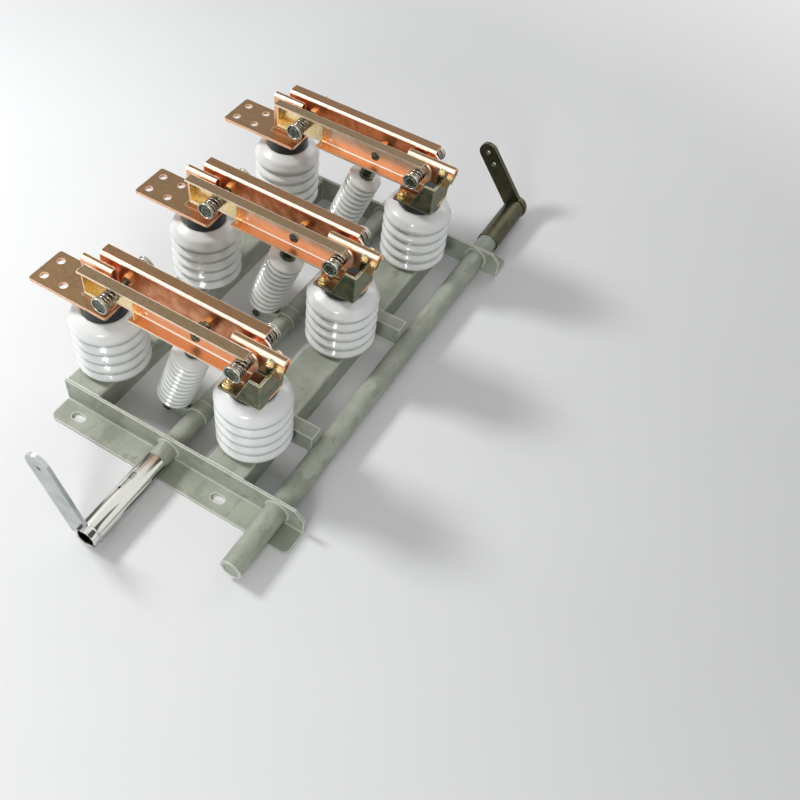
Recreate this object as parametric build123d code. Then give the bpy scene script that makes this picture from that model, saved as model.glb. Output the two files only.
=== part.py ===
from build123d import *
import os
from math import atan2, cos, degrees, hypot, radians, sin

# Three-pole indoor disconnector on a welded steel base, in millimetres.
# +X runs along the blades from the fixed contacts to the hinges, +Y along the shafts, +Z up.
# The origin lies on the floor plane, in the middle of the four fixing slots.

# Poles and the two rows of post insulators
POLE_COUNT = 3
POLE_PITCH = 250.0
CONTACT_X = -143.0
BLADE_SPAN = 276.0

# Base frame: two end angles joined by two channels
ANGLE_LEG = 50.0
ANGLE_THICKNESS = 5.0
ANGLE_BEND_RADIUS = 2.0
END_MARGIN = 82.5
FRAME_OVERHANG = 145.0
ANGLE_CORNER_CUT = 16.0
FLANGE_CORNER_RADIUS = 12.0
SLOT_SPAN = 274.0
SLOT_INSET = 22.0
SLOT_LENGTH = 24.0
SLOT_WIDTH = 14.0
RAIL_WIDTH = 68.0
RAIL_DROP = 1.0
RAIL_THICKNESS = 4.0
RAIL_BEND_RADIUS = 4.0

# Main shaft, its bearings and its near crank
SHAFT_X = 28.5
SHAFT_Z = 26.0
SHAFT_RADIUS = 16.5
SHAFT_BORE = 12.5
SHAFT_FAR_STUB = 47.0
RUNNING_GAP = 0.2
BUSH_WALL = 2.5
BUSH_PROUD = 1.5
SLEEVE_START = 30.0
SLEEVE_RADIUS = 19.2
SLEEVE_REACH = 160.0
SLEEVE_FIT = 0.05
SLEEVE_MOUTH_RADIUS = 14.5
SLEEVE_STEP_LENGTH = 32.0
SLEEVE_STEP_DEPTH = 1.0
SLEEVE_NOTCH_LENGTH = 13.0
SLEEVE_NOTCH_WIDTH = 9.0
SLEEVE_NOTCH_START = 41.5
SLEEVE_NOTCH_LEAN = 12.0
SLEEVE_HOLE_RADIUS = 2.5
SLEEVE_HOLE_PLACE = 74.5
SLEEVE_HOLE_LEAN = 21.0
SHAFT_IN_SLEEVE = 59.0
CRANK_LEAN = 20.9
CRANK_WIDTH = 42.0
CRANK_THICKNESS = 6.5
CRANK_INSET = 5.0
CRANK_SIDE_STEP = 15.0
CRANK_FOOT = 4.0
CRANK_HOLE_REACH = 136.0
CRANK_TIP_REACH = 162.0
CRANK_HOLE_RADIUS = 4.0

# Side shaft with its far crank
SIDE_SHAFT_REACH = 98.0
SIDE_SHAFT_RADIUS = 18.0
SIDE_SHAFT_BORE = 14.0
SIDE_NEAR_REACH = 117.5
SIDE_FAR_STUB = 30.0
SIDE_SLEEVE_RADIUS = 20.5
SIDE_SLEEVE_START = 46.0
SIDE_SLEEVE_REACH = 182.0
SIDE_CRANK_LEAN = 37.9
SIDE_CRANK_WIDTH = 36.0
SIDE_CRANK_RING = 2.0
SIDE_CRANK_THICKNESS = 8.0
SIDE_CRANK_INSET = 6.0
SIDE_CRANK_HOLE_REACH = 100.0
SIDE_CRANK_HOLE_PITCH = 26.0
SIDE_CRANK_TIP_REACH = 145.0
SIDE_CRANK_HOLE_RADIUS = 4.5

# Angle brackets that reach from the hinge channel to the side shaft
HANGER_PLACES = (-199.0, 74.5)
HANGER_WIDTH = 25.0
HANGER_THICKNESS = 4.0
HANGER_DROP = 33.0
HANGER_LAP = 7.0
HANGER_END_GAP = 17.0
HANGER_SHAFT_GAP = 0.5

# Post insulators
SHED_COUNT = 5
SHED_PITCH = 22.0
SHED_RADIUS = 59.5
SHED_CORE_RADIUS = 50.5
SHED_LAND = 5.0
SHED_SLOPE = 8.5
FOOT_RADIUS = 46.0
FOOT_HEIGHT = 4.0
POST_NECK = 3.0
POST_SHOULDER = 20.0
POST_BROW_RADIUS = 53.0
POST_BROW = 12.0
POST_TOP_RADIUS = 39.5
CAP_RADIUS = 37.0
CAP_HEIGHT = 20.0

# Terminal pad and fixed contact
PAD_THICKNESS = 5.0
PAD_WIDTH = 73.0
PAD_OUTER_REACH = 116.0
PAD_INNER_REACH = 35.0
PAD_CORNER_RADIUS = 5.0
PAD_HOLE_INSET = 17.0
PAD_HOLE_PITCH_X = 38.5
PAD_HOLE_PITCH_Y = 37.4
PAD_HOLE_RADIUS = 6.5
CONTACT_HALF_WIDTH = 7.0
CONTACT_SHEET = 3.0
CONTACT_OUTER_REACH = 25.0
CONTACT_INNER_REACH = 33.0
CONTACT_RISE = 23.0
CONTACT_FOOT_HALF_WIDTH = 19.0
FOLD_FLAT = 0.5

# Blades
PIVOT_RISE = 54.0
BLADE_WEB_INSIDE = 14.2
BLADE_SHEET = 3.0
BLADE_BEND_RADIUS = 6.0
BLADE_FLANGE = 21.2
BLADE_HEIGHT = 52.0
BLADE_TIP_REACH = 282.0
BLADE_TAIL_REACH = 11.0
LOWER_FLANGE_START = 195.0
TONGUE_RADIUS = 22.0
CONTACT_GAP = 0.3
CONTACT_BOSS_RADIUS = 9.0
CONTACT_BOSS_REACH = 258.0
HINGE_BOSS_RADIUS = 13.0
DISC_RADIUS = 4.0
DISC_THICKNESS = 1.5
DISC_REACH = 177.0
DISC_GAP = 0.5

# Contact springs, their bolts and the press plates under them
SPRING_BOLT_REACH = 229.0
BOLT_RADIUS = 5.0
CUP_RADIUS = 14.5
CUP_LENGTH = 7.0
CUP_WALL = 2.0
CUP_FACE_CONTACT = 54.0
CUP_FACE_HINGE = 50.0
SPRING_RADIUS = 10.5
SPRING_WIRE = 2.6
SPRING_SEAT_GAP = 0.3
BOLT_HEAD_ACROSS = 17.0
BOLT_HEAD_LENGTH = 4.0
TRAY_SHEET = 2.0
TRAY_TIP_REACH = 277.0
TRAY_TAIL_REACH = 184.0
TRAY_CLEARANCE = 0.5
TRAY_LIP = 15.0
TRAY_SHELF_LENGTH = 40.0
TRAY_SHELF_LIP = 6.0
TRAY_HOLE_RADIUS = 2.5
TRAY_HOLE_INSET = 9.0

# Hinge contact bar and the bracket that carries it
BAR_HALF_WIDTH = 8.5
BAR_SHEET = 3.0
BAR_RISE = 22.6
BAR_DEPTH = 40.0
BAR_INNER_REACH = 31.0
BAR_OUTER_REACH = 58.0
BAR_END_DEPTH = 13.0
BAR_END_CUT = 7.0
HINGE_BORE_GAP = 0.15
BASE_SHEET = 5.0
BASE_INNER_REACH = 30.0
BASE_NEAR_SIDE = 23.0
BASE_FAR_SIDE = 5.0
BASE_END_PROUD = 1.0
BASE_SLOT_GAP = 0.1
BRACKET_SHEET = 4.0
BRACKET_INNER_REACH = 30.0
BRACKET_OUTER_REACH = 44.0
BRACKET_NEAR_SIDE = 45.0
BRACKET_FAR_SIDE = 17.0
BRACKET_FAR_FOOT = 9.0
BRACKET_SHOULDER_DROP = 13.0
BRACKET_UNDER_PIVOT = 1.0
SEAT_GAP = 0.3
EAR_THICKNESS = 3.7
EAR_WIDTH = 13.0
EAR_RISE = 19.0
EAR_CORNER_RADIUS = 6.0
GUSSET_FOOT = 7.0
GUSSET_FOOT_REACH = 3.5
GUSSET_TOP_REACH = 24.0
BRACKET_BEND_RADIUS = 3.0
BAR_BOLT_PLACES = ((37.5, 12.0), (51.0, 6.0))
BAR_BOLT_RADIUS = 3.0
BAR_BOLT_ACROSS = 10.0
BAR_BOLT_HEAD = 4.0
BASE_BOLT_ACROSS = 13.0
BASE_WASHER_RADIUS = 9.0
BASE_WASHER_THICKNESS = 1.5
BASE_BOLT_HEAD = 6.0
BASE_BOLT_SPREAD_X = 19.0
BASE_BOLT_SPREAD_Y = 33.0

# Pull rods between the shaft levers and the blades
DRIVE_REACH = 86.0
DRIVE_DROP = 7.0
DRIVE_PIN_RADIUS = 5.0
DRIVE_PIN_GAP = 0.15
DRIVE_NUT_ACROSS = 15.0
DRIVE_NUT_LENGTH = 5.0
LEVER_LENGTH = 62.1
LEVER_DROP_ANGLE = 13.0
LEVER_WIDTH = 18.0
LEVER_PLATE = 5.0
LEVER_PLATE_INSIDE = 6.0
LEVER_HUB_RADIUS = 18.5
LEVER_HUB_LENGTH = 22.0
LEVER_PIN_RADIUS = 5.0
LEVER_PIN_HEAD_RADIUS = 7.5
LEVER_PIN_HEAD = 2.5
LEVER_PIN_PLAY = 1.95
ROD_EYE_RADIUS = 11.0
ROD_EYE_THICKNESS = 9.0
ROD_STEM_RADIUS = 7.0
FERRULE_RADIUS = 14.0
FERRULE_LENGTH = 7.0
FERRULE_START = 25.0
ROD_SHED_COUNT = 11
ROD_SHED_PITCH = 12.7
ROD_SHED_RADIUS = 27.5
ROD_CORE_RADIUS = 20.5
ROD_SHED_LAND = 2.6
ROD_SHED_SLOPE = 3.2
ROD_NECK_RADIUS = 17.0
ROD_NECK = 4.0

# Places worked out from the sizes above
POLES = [(n - (POLE_COUNT - 1) / 2) * POLE_PITCH for n in range(POLE_COUNT)]
PIVOT_X = CONTACT_X + BLADE_SPAN
SIDE_SHAFT_X = PIVOT_X + SIDE_SHAFT_REACH
WEB_OUTSIDE_Y = (POLE_COUNT - 1) / 2 * POLE_PITCH + END_MARGIN
WEB_INSIDE_Y = WEB_OUTSIDE_Y - ANGLE_THICKNESS
FRAME_START_X = CONTACT_X - RAIL_WIDTH / 2
FRAME_END_X = PIVOT_X + FRAME_OVERHANG
RAIL_HEIGHT = ANGLE_LEG - RAIL_DROP
FIRST_RIM = FOOT_HEIGHT + POST_NECK + SHED_LAND / 2
PORCELAIN_TOP = FIRST_RIM + (SHED_COUNT - 1) * SHED_PITCH + SHED_LAND / 2 + POST_SHOULDER
POST_TOP = RAIL_HEIGHT + PORCELAIN_TOP + CAP_HEIGHT
PIVOT_Z = POST_TOP + PIVOT_RISE
CONTACT_TOP = PIVOT_Z + CONTACT_RISE
BLADE_BOTTOM = PIVOT_Z - BLADE_HEIGHT / 2
BLADE_TOP = PIVOT_Z + BLADE_HEIGHT / 2
BLADE_WEB_OUTSIDE = BLADE_WEB_INSIDE + BLADE_SHEET
BLADE_EDGE = BLADE_WEB_INSIDE + BLADE_FLANGE
BRACKET_FLOOR = POST_TOP + BRACKET_SHEET
BRACKET_TOP = PIVOT_Z - BRACKET_UNDER_PIVOT
BAR_TOP = PIVOT_Z + BAR_RISE
BAR_BOTTOM = BAR_TOP - BAR_DEPTH
BAR_BOLTS = [(PIVOT_X + x, PIVOT_Z + z) for x, z in BAR_BOLT_PLACES]
EAR_SIDE = BAR_HALF_WIDTH + SEAT_GAP + EAR_THICKNESS
SLEEVE_MOUTH_Y = -WEB_OUTSIDE_Y - SLEEVE_START - SLEEVE_REACH
DRIVE_X = PIVOT_X - DRIVE_REACH
DRIVE_Z = PIVOT_Z - DRIVE_DROP
LEVER_PIN_X = SHAFT_X - LEVER_LENGTH * cos(radians(LEVER_DROP_ANGLE))
LEVER_PIN_Z = SHAFT_Z - LEVER_LENGTH * sin(radians(LEVER_DROP_ANGLE))
ROD_LENGTH = hypot(DRIVE_X - LEVER_PIN_X, DRIVE_Z - LEVER_PIN_Z)
ROD_TILT = degrees(atan2(DRIVE_X - LEVER_PIN_X, DRIVE_Z - LEVER_PIN_Z))
ROD_PORCELAIN_START = FERRULE_START + FERRULE_LENGTH
ROD_FIRST_RIM = ROD_PORCELAIN_START + ROD_NECK + ROD_SHED_LAND / 2
ROD_LAST_RIM = ROD_FIRST_RIM + (ROD_SHED_COUNT - 1) * ROD_SHED_PITCH
ROD_PORCELAIN_END = ROD_LAST_RIM + ROD_SHED_LAND / 2 + ROD_NECK + ROD_SHED_SLOPE


def box(x0, x1, y0, y1, z0, z1):
    """Plain block between its limits."""
    centre = Pos((x0 + x1) / 2, (y0 + y1) / 2, (z0 + z1) / 2)
    return centre * Box(x1 - x0, y1 - y0, z1 - z0)


def bar_y(x, z, y0, y1, radius):
    """Round bar along Y."""
    return Pos(x, (y0 + y1) / 2, z) * Rot(90, 0, 0) * Cylinder(radius, abs(y1 - y0))


def bar_z(x, y, z0, z1, radius):
    """Round bar along Z."""
    return Pos(x, y, (z0 + z1) / 2) * Cylinder(radius, z1 - z0)


def outline(*points):
    """Flat face with straight sides."""
    return make_face(Polyline(*points, close=True))


def along_x(face, x0, x1):
    """Bar along X whose face is drawn in Y and Z."""
    start = Plane(origin=(x0, 0, 0), x_dir=(0, 1, 0), z_dir=(1, 0, 0))
    return extrude(start * face, x1 - x0)


def along_y(face, y0, y1):
    """Sheet or bar along Y whose face is drawn in X and Z."""
    start = Plane(origin=(0, y1, 0), x_dir=(1, 0, 0), z_dir=(0, -1, 0))
    return extrude(start * face, y1 - y0)


def hexagon_y(x, z, y0, y1, across):
    """Hexagon head or nut on an axis along Y."""
    face = RegularPolygon(across / 2, 6, major_radius=False)
    return along_y(Pos(x, z) * face, min(y0, y1), max(y0, y1))


def hexagon_z(x, y, z0, z1, across):
    """Hexagon head or nut on an axis along Z."""
    return Pos(x, y, z0) * extrude(RegularPolygon(across / 2, 6, major_radius=False), z1 - z0)


def turned(*points):
    """Solid of revolution about Z from points of radius and height."""
    return revolve(Plane.XZ * outline(*points), Axis.Z)


def both_sides(solid):
    """A solid and its mirror image across the pole's middle plane."""
    return [solid, mirror(solid, Plane.XZ)]


def at_pole(y, solids):
    """Solids modelled in the middle plane, moved to a pole."""
    return [Pos(0, y, 0) * solid for solid in solids]


def save(name, solids):
    """Write one sub-part; several solids that don't touch share a file."""
    parts = solids if isinstance(solids, list) else [solids]
    shape = parts[0] if len(parts) == 1 else Compound(children=parts)
    shape.label = name
    export_step(shape, f"parts/{name}.step")


def end_angle():
    """Near end angle with its slots, shaft holes and trimmed corners."""
    leg = ANGLE_LEG
    sheet = ANGLE_THICKNESS
    section = outline((0, 0), (leg, 0), (leg, sheet), (sheet, sheet), (sheet, leg), (0, leg))
    angle = along_x(section, FRAME_START_X, FRAME_END_X)
    angle = fillet(angle.edges().filter_by(Axis.X).group_by(Axis.Z)[1].sort_by(Axis.Y)[:1], ANGLE_BEND_RADIUS)
    web_corner = angle.edges().filter_by(Axis.Y).group_by(Axis.Z)[-1].sort_by(Axis.X)[-1:]
    angle = chamfer(web_corner, ANGLE_CORNER_CUT)
    outer = angle.edges().filter_by(Axis.Z).group_by(Axis.Y)[-1]
    angle = fillet(outer, FLANGE_CORNER_RADIUS)
    for x in (-SLOT_SPAN / 2, SLOT_SPAN / 2):
        slot = extrude(SlotOverall(SLOT_LENGTH, SLOT_WIDTH), 3 * sheet, both=True)
        angle -= Pos(x, SLOT_INSET + sheet, 0) * slot
    for x, radius in ((SHAFT_X, SHAFT_RADIUS), (SIDE_SHAFT_X, SIDE_SHAFT_RADIUS)):
        angle -= bar_y(x, SHAFT_Z, -leg, leg, radius + RUNNING_GAP + BUSH_WALL)
    return Pos(0, WEB_INSIDE_Y, 0) * angle


def rail(x):
    """Channel, open side down, between the two end angles."""
    half = RAIL_WIDTH / 2
    inner = half - RAIL_THICKNESS
    roof = RAIL_HEIGHT - RAIL_THICKNESS
    section = outline((x - half, 0), (x - half, RAIL_HEIGHT), (x + half, RAIL_HEIGHT), (x + half, 0),
                      (x + inner, 0), (x + inner, roof), (x - inner, roof), (x - inner, 0))
    channel = along_y(section, -WEB_INSIDE_Y, WEB_INSIDE_Y)
    bends = channel.edges().filter_by(Axis.Y).group_by(Axis.Z)[-1]
    return fillet(bends, RAIL_BEND_RADIUS)


def shaft_bearing(x, radius):
    """Bush in an end web, a little proud of it on both sides."""
    y0 = WEB_INSIDE_Y - BUSH_PROUD
    y1 = WEB_OUTSIDE_Y + BUSH_PROUD
    bush = bar_y(x, SHAFT_Z, y0, y1, radius + RUNNING_GAP + BUSH_WALL)
    return bush - bar_y(x, SHAFT_Z, y0 - 1, y1 + 1, radius + RUNNING_GAP)


def shaft_hanger(y):
    """Angle bracket lapped on the hinge channel and coped round the side shaft."""
    x0 = PIVOT_X + RAIL_WIDTH / 2 - HANGER_LAP
    x1 = SIDE_SHAFT_X - HANGER_END_GAP
    y0 = y - HANGER_WIDTH / 2
    top = box(x0, x1, y0, y0 + HANGER_WIDTH, RAIL_HEIGHT, RAIL_HEIGHT + HANGER_THICKNESS)
    leg_start = PIVOT_X + RAIL_WIDTH / 2
    leg = box(leg_start, x1, y0, y0 + HANGER_THICKNESS, RAIL_HEIGHT - HANGER_DROP, RAIL_HEIGHT)
    shaft_space = bar_y(SIDE_SHAFT_X, SHAFT_Z, y0 - HANGER_WIDTH, y0 + 2 * HANGER_WIDTH,
                        SIDE_SHAFT_RADIUS + HANGER_SHAFT_GAP)
    return top + leg - shaft_space


def post(x, y):
    """Ribbed porcelain post with an open groove between its sheds and a rounded shoulder."""
    rims = [FIRST_RIM + n * SHED_PITCH for n in range(SHED_COUNT)]
    half = SHED_LAND / 2
    points = [(0, FOOT_HEIGHT), (FOOT_RADIUS, FOOT_HEIGHT)]
    for rim in rims[:-1]:
        points += [(SHED_RADIUS, rim - half), (SHED_RADIUS, rim + half)]
        points += [(SHED_CORE_RADIUS, rim + SHED_PITCH - half - SHED_SLOPE / 2)]
    last = rims[-1] + half
    points += [(SHED_RADIUS, rims[-1] - half), (SHED_RADIUS, last)]
    points += [(POST_BROW_RADIUS, last + POST_BROW), (POST_TOP_RADIUS, PORCELAIN_TOP), (0, PORCELAIN_TOP)]
    return Pos(x, y, RAIL_HEIGHT) * turned(*points)


def terminal_pad():
    """Copper pad with four holes, bolted on the contact post."""
    x0 = CONTACT_X - PAD_OUTER_REACH
    x1 = CONTACT_X + PAD_INNER_REACH
    pad_top = POST_TOP + PAD_THICKNESS
    pad = box(x0, x1, -PAD_WIDTH / 2, PAD_WIDTH / 2, POST_TOP, pad_top)
    pad = fillet(pad.edges().filter_by(Axis.Z), PAD_CORNER_RADIUS)
    for n in (0, 1):
        for side in (-1, 1):
            x = x0 + PAD_HOLE_INSET + n * PAD_HOLE_PITCH_X
            pad -= bar_z(x, side * PAD_HOLE_PITCH_Y / 2, POST_TOP - 1, pad_top + 1, PAD_HOLE_RADIUS)
    return pad


def folded_bar(x0, x1, half_width, sheet, bottom, top):
    """Copper strip folded over into an inverted U with a round back."""
    outside = box(x0, x1, -half_width, half_width, bottom, top)
    outside = fillet(outside.edges().filter_by(Axis.X).group_by(Axis.Z)[-1], half_width - FOLD_FLAT)
    inner = half_width - sheet
    inside = box(x0 - 1, x1 + 1, -inner, inner, bottom - 1, top - sheet)
    inside = fillet(inside.edges().filter_by(Axis.X).group_by(Axis.Z)[-1], inner - FOLD_FLAT)
    return outside - inside


def fixed_contact():
    """Folded copper contact standing on the pad with two feet turned outward."""
    x0 = CONTACT_X - CONTACT_OUTER_REACH
    x1 = CONTACT_X + CONTACT_INNER_REACH
    floor = POST_TOP + PAD_THICKNESS
    contact = folded_bar(x0, x1, CONTACT_HALF_WIDTH, CONTACT_SHEET, floor, CONTACT_TOP)
    for side in (-1, 1):
        y0, y1 = sorted((side * (CONTACT_HALF_WIDTH - CONTACT_SHEET), side * CONTACT_FOOT_HALF_WIDTH))
        contact += box(x0, x1, y0, y1, floor, floor + CONTACT_SHEET)
    return contact


def hinge_contact():
    """Folded copper bar that the blades grip, its upright end, and the copper strip under it."""
    x0 = PIVOT_X - BAR_INNER_REACH
    x1 = PIVOT_X + BAR_OUTER_REACH
    bar = folded_bar(x0, x1, BAR_HALF_WIDTH, BAR_SHEET, BAR_BOTTOM, BAR_TOP)
    end_cut = outline((x1 - BAR_END_CUT, BAR_BOTTOM - 1), (x1, BAR_TOP - BAR_END_DEPTH),
                      (x1 + 1, BAR_TOP - BAR_END_DEPTH), (x1 + 1, BAR_BOTTOM - 1))
    bar -= along_y(end_cut, -2 * BAR_HALF_WIDTH, 2 * BAR_HALF_WIDTH)
    bar -= bar_y(PIVOT_X, PIVOT_Z, -2 * BAR_HALF_WIDTH, 2 * BAR_HALF_WIDTH, BOLT_RADIUS + HINGE_BORE_GAP)
    for x, z in BAR_BOLTS:
        bar -= bar_y(x, z, -2 * BAR_HALF_WIDTH, 2 * BAR_HALF_WIDTH, BAR_BOLT_RADIUS)
    plate_x = PIVOT_X + BRACKET_OUTER_REACH
    strip_top = BRACKET_FLOOR + BASE_SHEET
    strip = box(PIVOT_X - BASE_INNER_REACH, plate_x + BASE_END_PROUD, -BASE_NEAR_SIDE, BASE_FAR_SIDE,
                BRACKET_FLOOR, strip_top)
    upright = box(plate_x - BRACKET_SHEET - BAR_SHEET, plate_x - BRACKET_SHEET, -BAR_HALF_WIDTH, BASE_FAR_SIDE,
                  strip_top, BAR_BOTTOM + BAR_SHEET)
    return [bar + upright, strip]


def hinge_bracket():
    """Bent steel bracket: foot, end plate with a seat for the bar, a raked cheek and an ear beside the bar."""
    x0 = PIVOT_X - BRACKET_INNER_REACH
    x1 = PIVOT_X + BRACKET_OUTER_REACH
    near = -BRACKET_NEAR_SIDE
    far = BRACKET_FAR_SIDE
    foot = box(x0, x1, near, BRACKET_FAR_FOOT, POST_TOP, BRACKET_FLOOR)
    plate = outline((near, POST_TOP), (BRACKET_FAR_FOOT, POST_TOP), (far, BRACKET_TOP - BRACKET_SHOULDER_DROP),
                    (far, BRACKET_TOP), (near, BRACKET_TOP))
    cheek_x = PIVOT_X + GUSSET_FOOT_REACH
    cheek = outline((cheek_x, POST_TOP), (cheek_x, POST_TOP + GUSSET_FOOT),
                    (PIVOT_X + GUSSET_TOP_REACH, BRACKET_TOP), (x1, BRACKET_TOP), (x1, POST_TOP))
    bracket = foot + along_x(plate, x1 - BRACKET_SHEET, x1) + along_y(cheek, near, near + BRACKET_SHEET)
    bends = bracket.edges().filter_by(Axis.Z).group_by(Axis.X)[-1].sort_by(Axis.Y)[:1]
    bends += bracket.edges().filter_by(Axis.Y).group_by(Axis.Z)[0].sort_by(Axis.X)[-1:]
    bracket = fillet(bends, BRACKET_BEND_RADIUS)
    seat = BAR_HALF_WIDTH + SEAT_GAP
    bracket -= box(x1 - 2 * BRACKET_SHEET, x1 + 1, -seat, seat, BAR_BOTTOM - SEAT_GAP, BRACKET_TOP + 1)
    bracket -= box(x1 - 2 * BRACKET_SHEET, x1 + 1,
                   -BASE_NEAR_SIDE - BASE_SLOT_GAP, BASE_FAR_SIDE + BASE_SLOT_GAP,
                   BRACKET_FLOOR, BRACKET_FLOOR + BASE_SHEET + BASE_SLOT_GAP)
    ear = box(x1 - EAR_WIDTH, x1, -EAR_SIDE, -seat, BAR_BOTTOM, PIVOT_Z + EAR_RISE)
    ear = fillet(ear.edges().filter_by(Axis.Y).group_by(Axis.Z)[-1], EAR_CORNER_RADIUS)
    hole_x, hole_z = BAR_BOLTS[0]
    return bracket + ear - bar_y(hole_x, hole_z, -2 * EAR_SIDE, 0, BAR_BOLT_RADIUS)


def hinge_bolts():
    """Small hexagon bolts through the bar; the first also holds the bracket's ear."""
    bolts = []
    for (x, z), near_face in zip(BAR_BOLTS, (EAR_SIDE, BAR_HALF_WIDTH)):
        bolt = bar_y(x, z, -near_face, BAR_HALF_WIDTH, BAR_BOLT_RADIUS)
        bolt += hexagon_y(x, z, -near_face - BAR_BOLT_HEAD, -near_face, BAR_BOLT_ACROSS)
        bolts.append(bolt + hexagon_y(x, z, BAR_HALF_WIDTH, BAR_HALF_WIDTH + BAR_BOLT_HEAD, BAR_BOLT_ACROSS))
    return bolts


def base_bolt():
    """Hexagon head and washer on the bracket's foot."""
    x = PIVOT_X - BASE_BOLT_SPREAD_X
    washer_top = BRACKET_FLOOR + BASE_WASHER_THICKNESS
    washer = bar_z(x, -BASE_BOLT_SPREAD_Y, BRACKET_FLOOR, washer_top, BASE_WASHER_RADIUS)
    head_top = washer_top + BASE_BOLT_HEAD
    return washer + hexagon_z(x, -BASE_BOLT_SPREAD_Y, washer_top, head_top, BASE_BOLT_ACROSS)


def blade_channel(x0, x1):
    """Bent channel with its flanges outward and its back toward the middle plane."""
    outside = box(x0, x1, BLADE_WEB_INSIDE, BLADE_EDGE, BLADE_BOTTOM, BLADE_TOP)
    outside = fillet(outside.edges().filter_by(Axis.X).group_by(Axis.Y)[0], BLADE_BEND_RADIUS)
    inside = box(x0 - 1, x1 + 1, BLADE_WEB_OUTSIDE, BLADE_EDGE + 1,
                 BLADE_BOTTOM + BLADE_SHEET, BLADE_TOP - BLADE_SHEET)
    inside = fillet(inside.edges().filter_by(Axis.X).group_by(Axis.Y)[0], BLADE_BEND_RADIUS - BLADE_SHEET)
    return outside - inside


def far_blade():
    """Copper channel with its flanges outward, a round tongue at the hinge and two contact bosses."""
    x0 = PIVOT_X - BLADE_TIP_REACH
    x1 = PIVOT_X + BLADE_TAIL_REACH
    flange_start = PIVOT_X - LOWER_FLANGE_START
    bend_top = BLADE_BOTTOM + BLADE_BEND_RADIUS
    blade = blade_channel(x0, x1)
    blade -= box(x0 - 1, flange_start, 0, BLADE_EDGE + 1, BLADE_BOTTOM - 1, bend_top)
    blade += box(x0, flange_start, BLADE_WEB_INSIDE, BLADE_WEB_OUTSIDE, BLADE_BOTTOM, bend_top)
    blade += bar_y(PIVOT_X, PIVOT_Z, BLADE_WEB_INSIDE, BLADE_WEB_OUTSIDE, TONGUE_RADIUS)
    blade += bar_y(PIVOT_X - CONTACT_BOSS_REACH, PIVOT_Z, CONTACT_HALF_WIDTH + CONTACT_GAP, BLADE_WEB_OUTSIDE,
                   CONTACT_BOSS_RADIUS)
    blade += bar_y(PIVOT_X, PIVOT_Z, BAR_HALF_WIDTH + CONTACT_GAP, BLADE_WEB_OUTSIDE, HINGE_BOSS_RADIUS)
    blade += bar_y(PIVOT_X - DISC_REACH, bend_top + DISC_RADIUS + DISC_GAP, BLADE_WEB_OUTSIDE,
                   BLADE_WEB_OUTSIDE + DISC_THICKNESS, DISC_RADIUS)
    for x, z, radius in ((PIVOT_X, PIVOT_Z, BOLT_RADIUS), (PIVOT_X - SPRING_BOLT_REACH, PIVOT_Z, BOLT_RADIUS),
                         (DRIVE_X, DRIVE_Z, DRIVE_PIN_RADIUS)):
        blade -= bar_y(x, z, 0, BLADE_EDGE, radius)
    return blade


def press_plate():
    """Steel tray that spreads the spring's force over the blade's contact end."""
    x0 = PIVOT_X - TRAY_TIP_REACH
    x1 = PIVOT_X - TRAY_TAIL_REACH
    y0 = BLADE_WEB_OUTSIDE
    y1 = y0 + TRAY_LIP
    z0 = BLADE_BOTTOM + BLADE_BEND_RADIUS + TRAY_CLEARANCE
    z1 = BLADE_TOP - BLADE_BEND_RADIUS - TRAY_CLEARANCE
    tray = box(x0, x1, y0, y0 + TRAY_SHEET, z0, z1)
    tray += box(x0, x0 + TRAY_SHEET, y0, y1, z0, z1)
    tray += box(x1 - TRAY_SHEET, x1, y0, y1, z0, z1)
    tray += box(x0, x0 + TRAY_SHELF_LENGTH, y0, y1, z0, z0 + TRAY_SHEET)
    tray += box(x0, x0 + TRAY_SHELF_LENGTH, y1 - TRAY_SHEET, y1, z0, z0 + TRAY_SHELF_LIP)
    tray -= bar_z(x0 + TRAY_HOLE_INSET, (y0 + y1) / 2, z0 - 1, z0 + TRAY_SHEET + 1, TRAY_HOLE_RADIUS)
    return tray - bar_y(PIVOT_X - SPRING_BOLT_REACH, PIVOT_Z, 0, y1, BOLT_RADIUS)


def cup(x, face):
    """Spring cup with a hexagon head sunk in its dished face."""
    shell = bar_y(x, PIVOT_Z, face - CUP_LENGTH, face, CUP_RADIUS)
    shell -= bar_y(x, PIVOT_Z, face - CUP_LENGTH + BLADE_SHEET, face + 1, CUP_RADIUS - CUP_WALL)
    head_start = face - CUP_LENGTH + BLADE_SHEET
    return shell + hexagon_y(x, PIVOT_Z, head_start, head_start + BOLT_HEAD_LENGTH, BOLT_HEAD_ACROSS)


def spring_bolt(x, face):
    """Bolt right through both blades with a spring cup on each end."""
    bolt = bar_y(x, PIVOT_Z, -face + CUP_LENGTH, face - CUP_LENGTH, BOLT_RADIUS)
    for end in both_sides(cup(x, face)):
        bolt += end
    return bolt


def drive_pin():
    """Pin that the pull rod lifts the blades by, with a nut outside each web."""
    pin = bar_y(DRIVE_X, DRIVE_Z, -BLADE_WEB_OUTSIDE, BLADE_WEB_OUTSIDE, DRIVE_PIN_RADIUS)
    for nut in both_sides(hexagon_y(DRIVE_X, DRIVE_Z, BLADE_WEB_OUTSIDE, BLADE_WEB_OUTSIDE + DRIVE_NUT_LENGTH,
                                    DRIVE_NUT_ACROSS)):
        pin += nut
    for nut in both_sides(hexagon_y(DRIVE_X, DRIVE_Z, BLADE_WEB_INSIDE - DRIVE_NUT_LENGTH, BLADE_WEB_INSIDE,
                                    DRIVE_NUT_ACROSS)):
        pin += nut
    return pin


def spring_sleeve(x, y0, y1):
    """Room that one coil spring fills between its seat and its cup."""
    outer = bar_y(x, PIVOT_Z, y0 + SPRING_SEAT_GAP, y1 - SPRING_SEAT_GAP, SPRING_RADIUS)
    return outer - bar_y(x, PIVOT_Z, y0, y1, SPRING_RADIUS - SPRING_WIRE)


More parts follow.
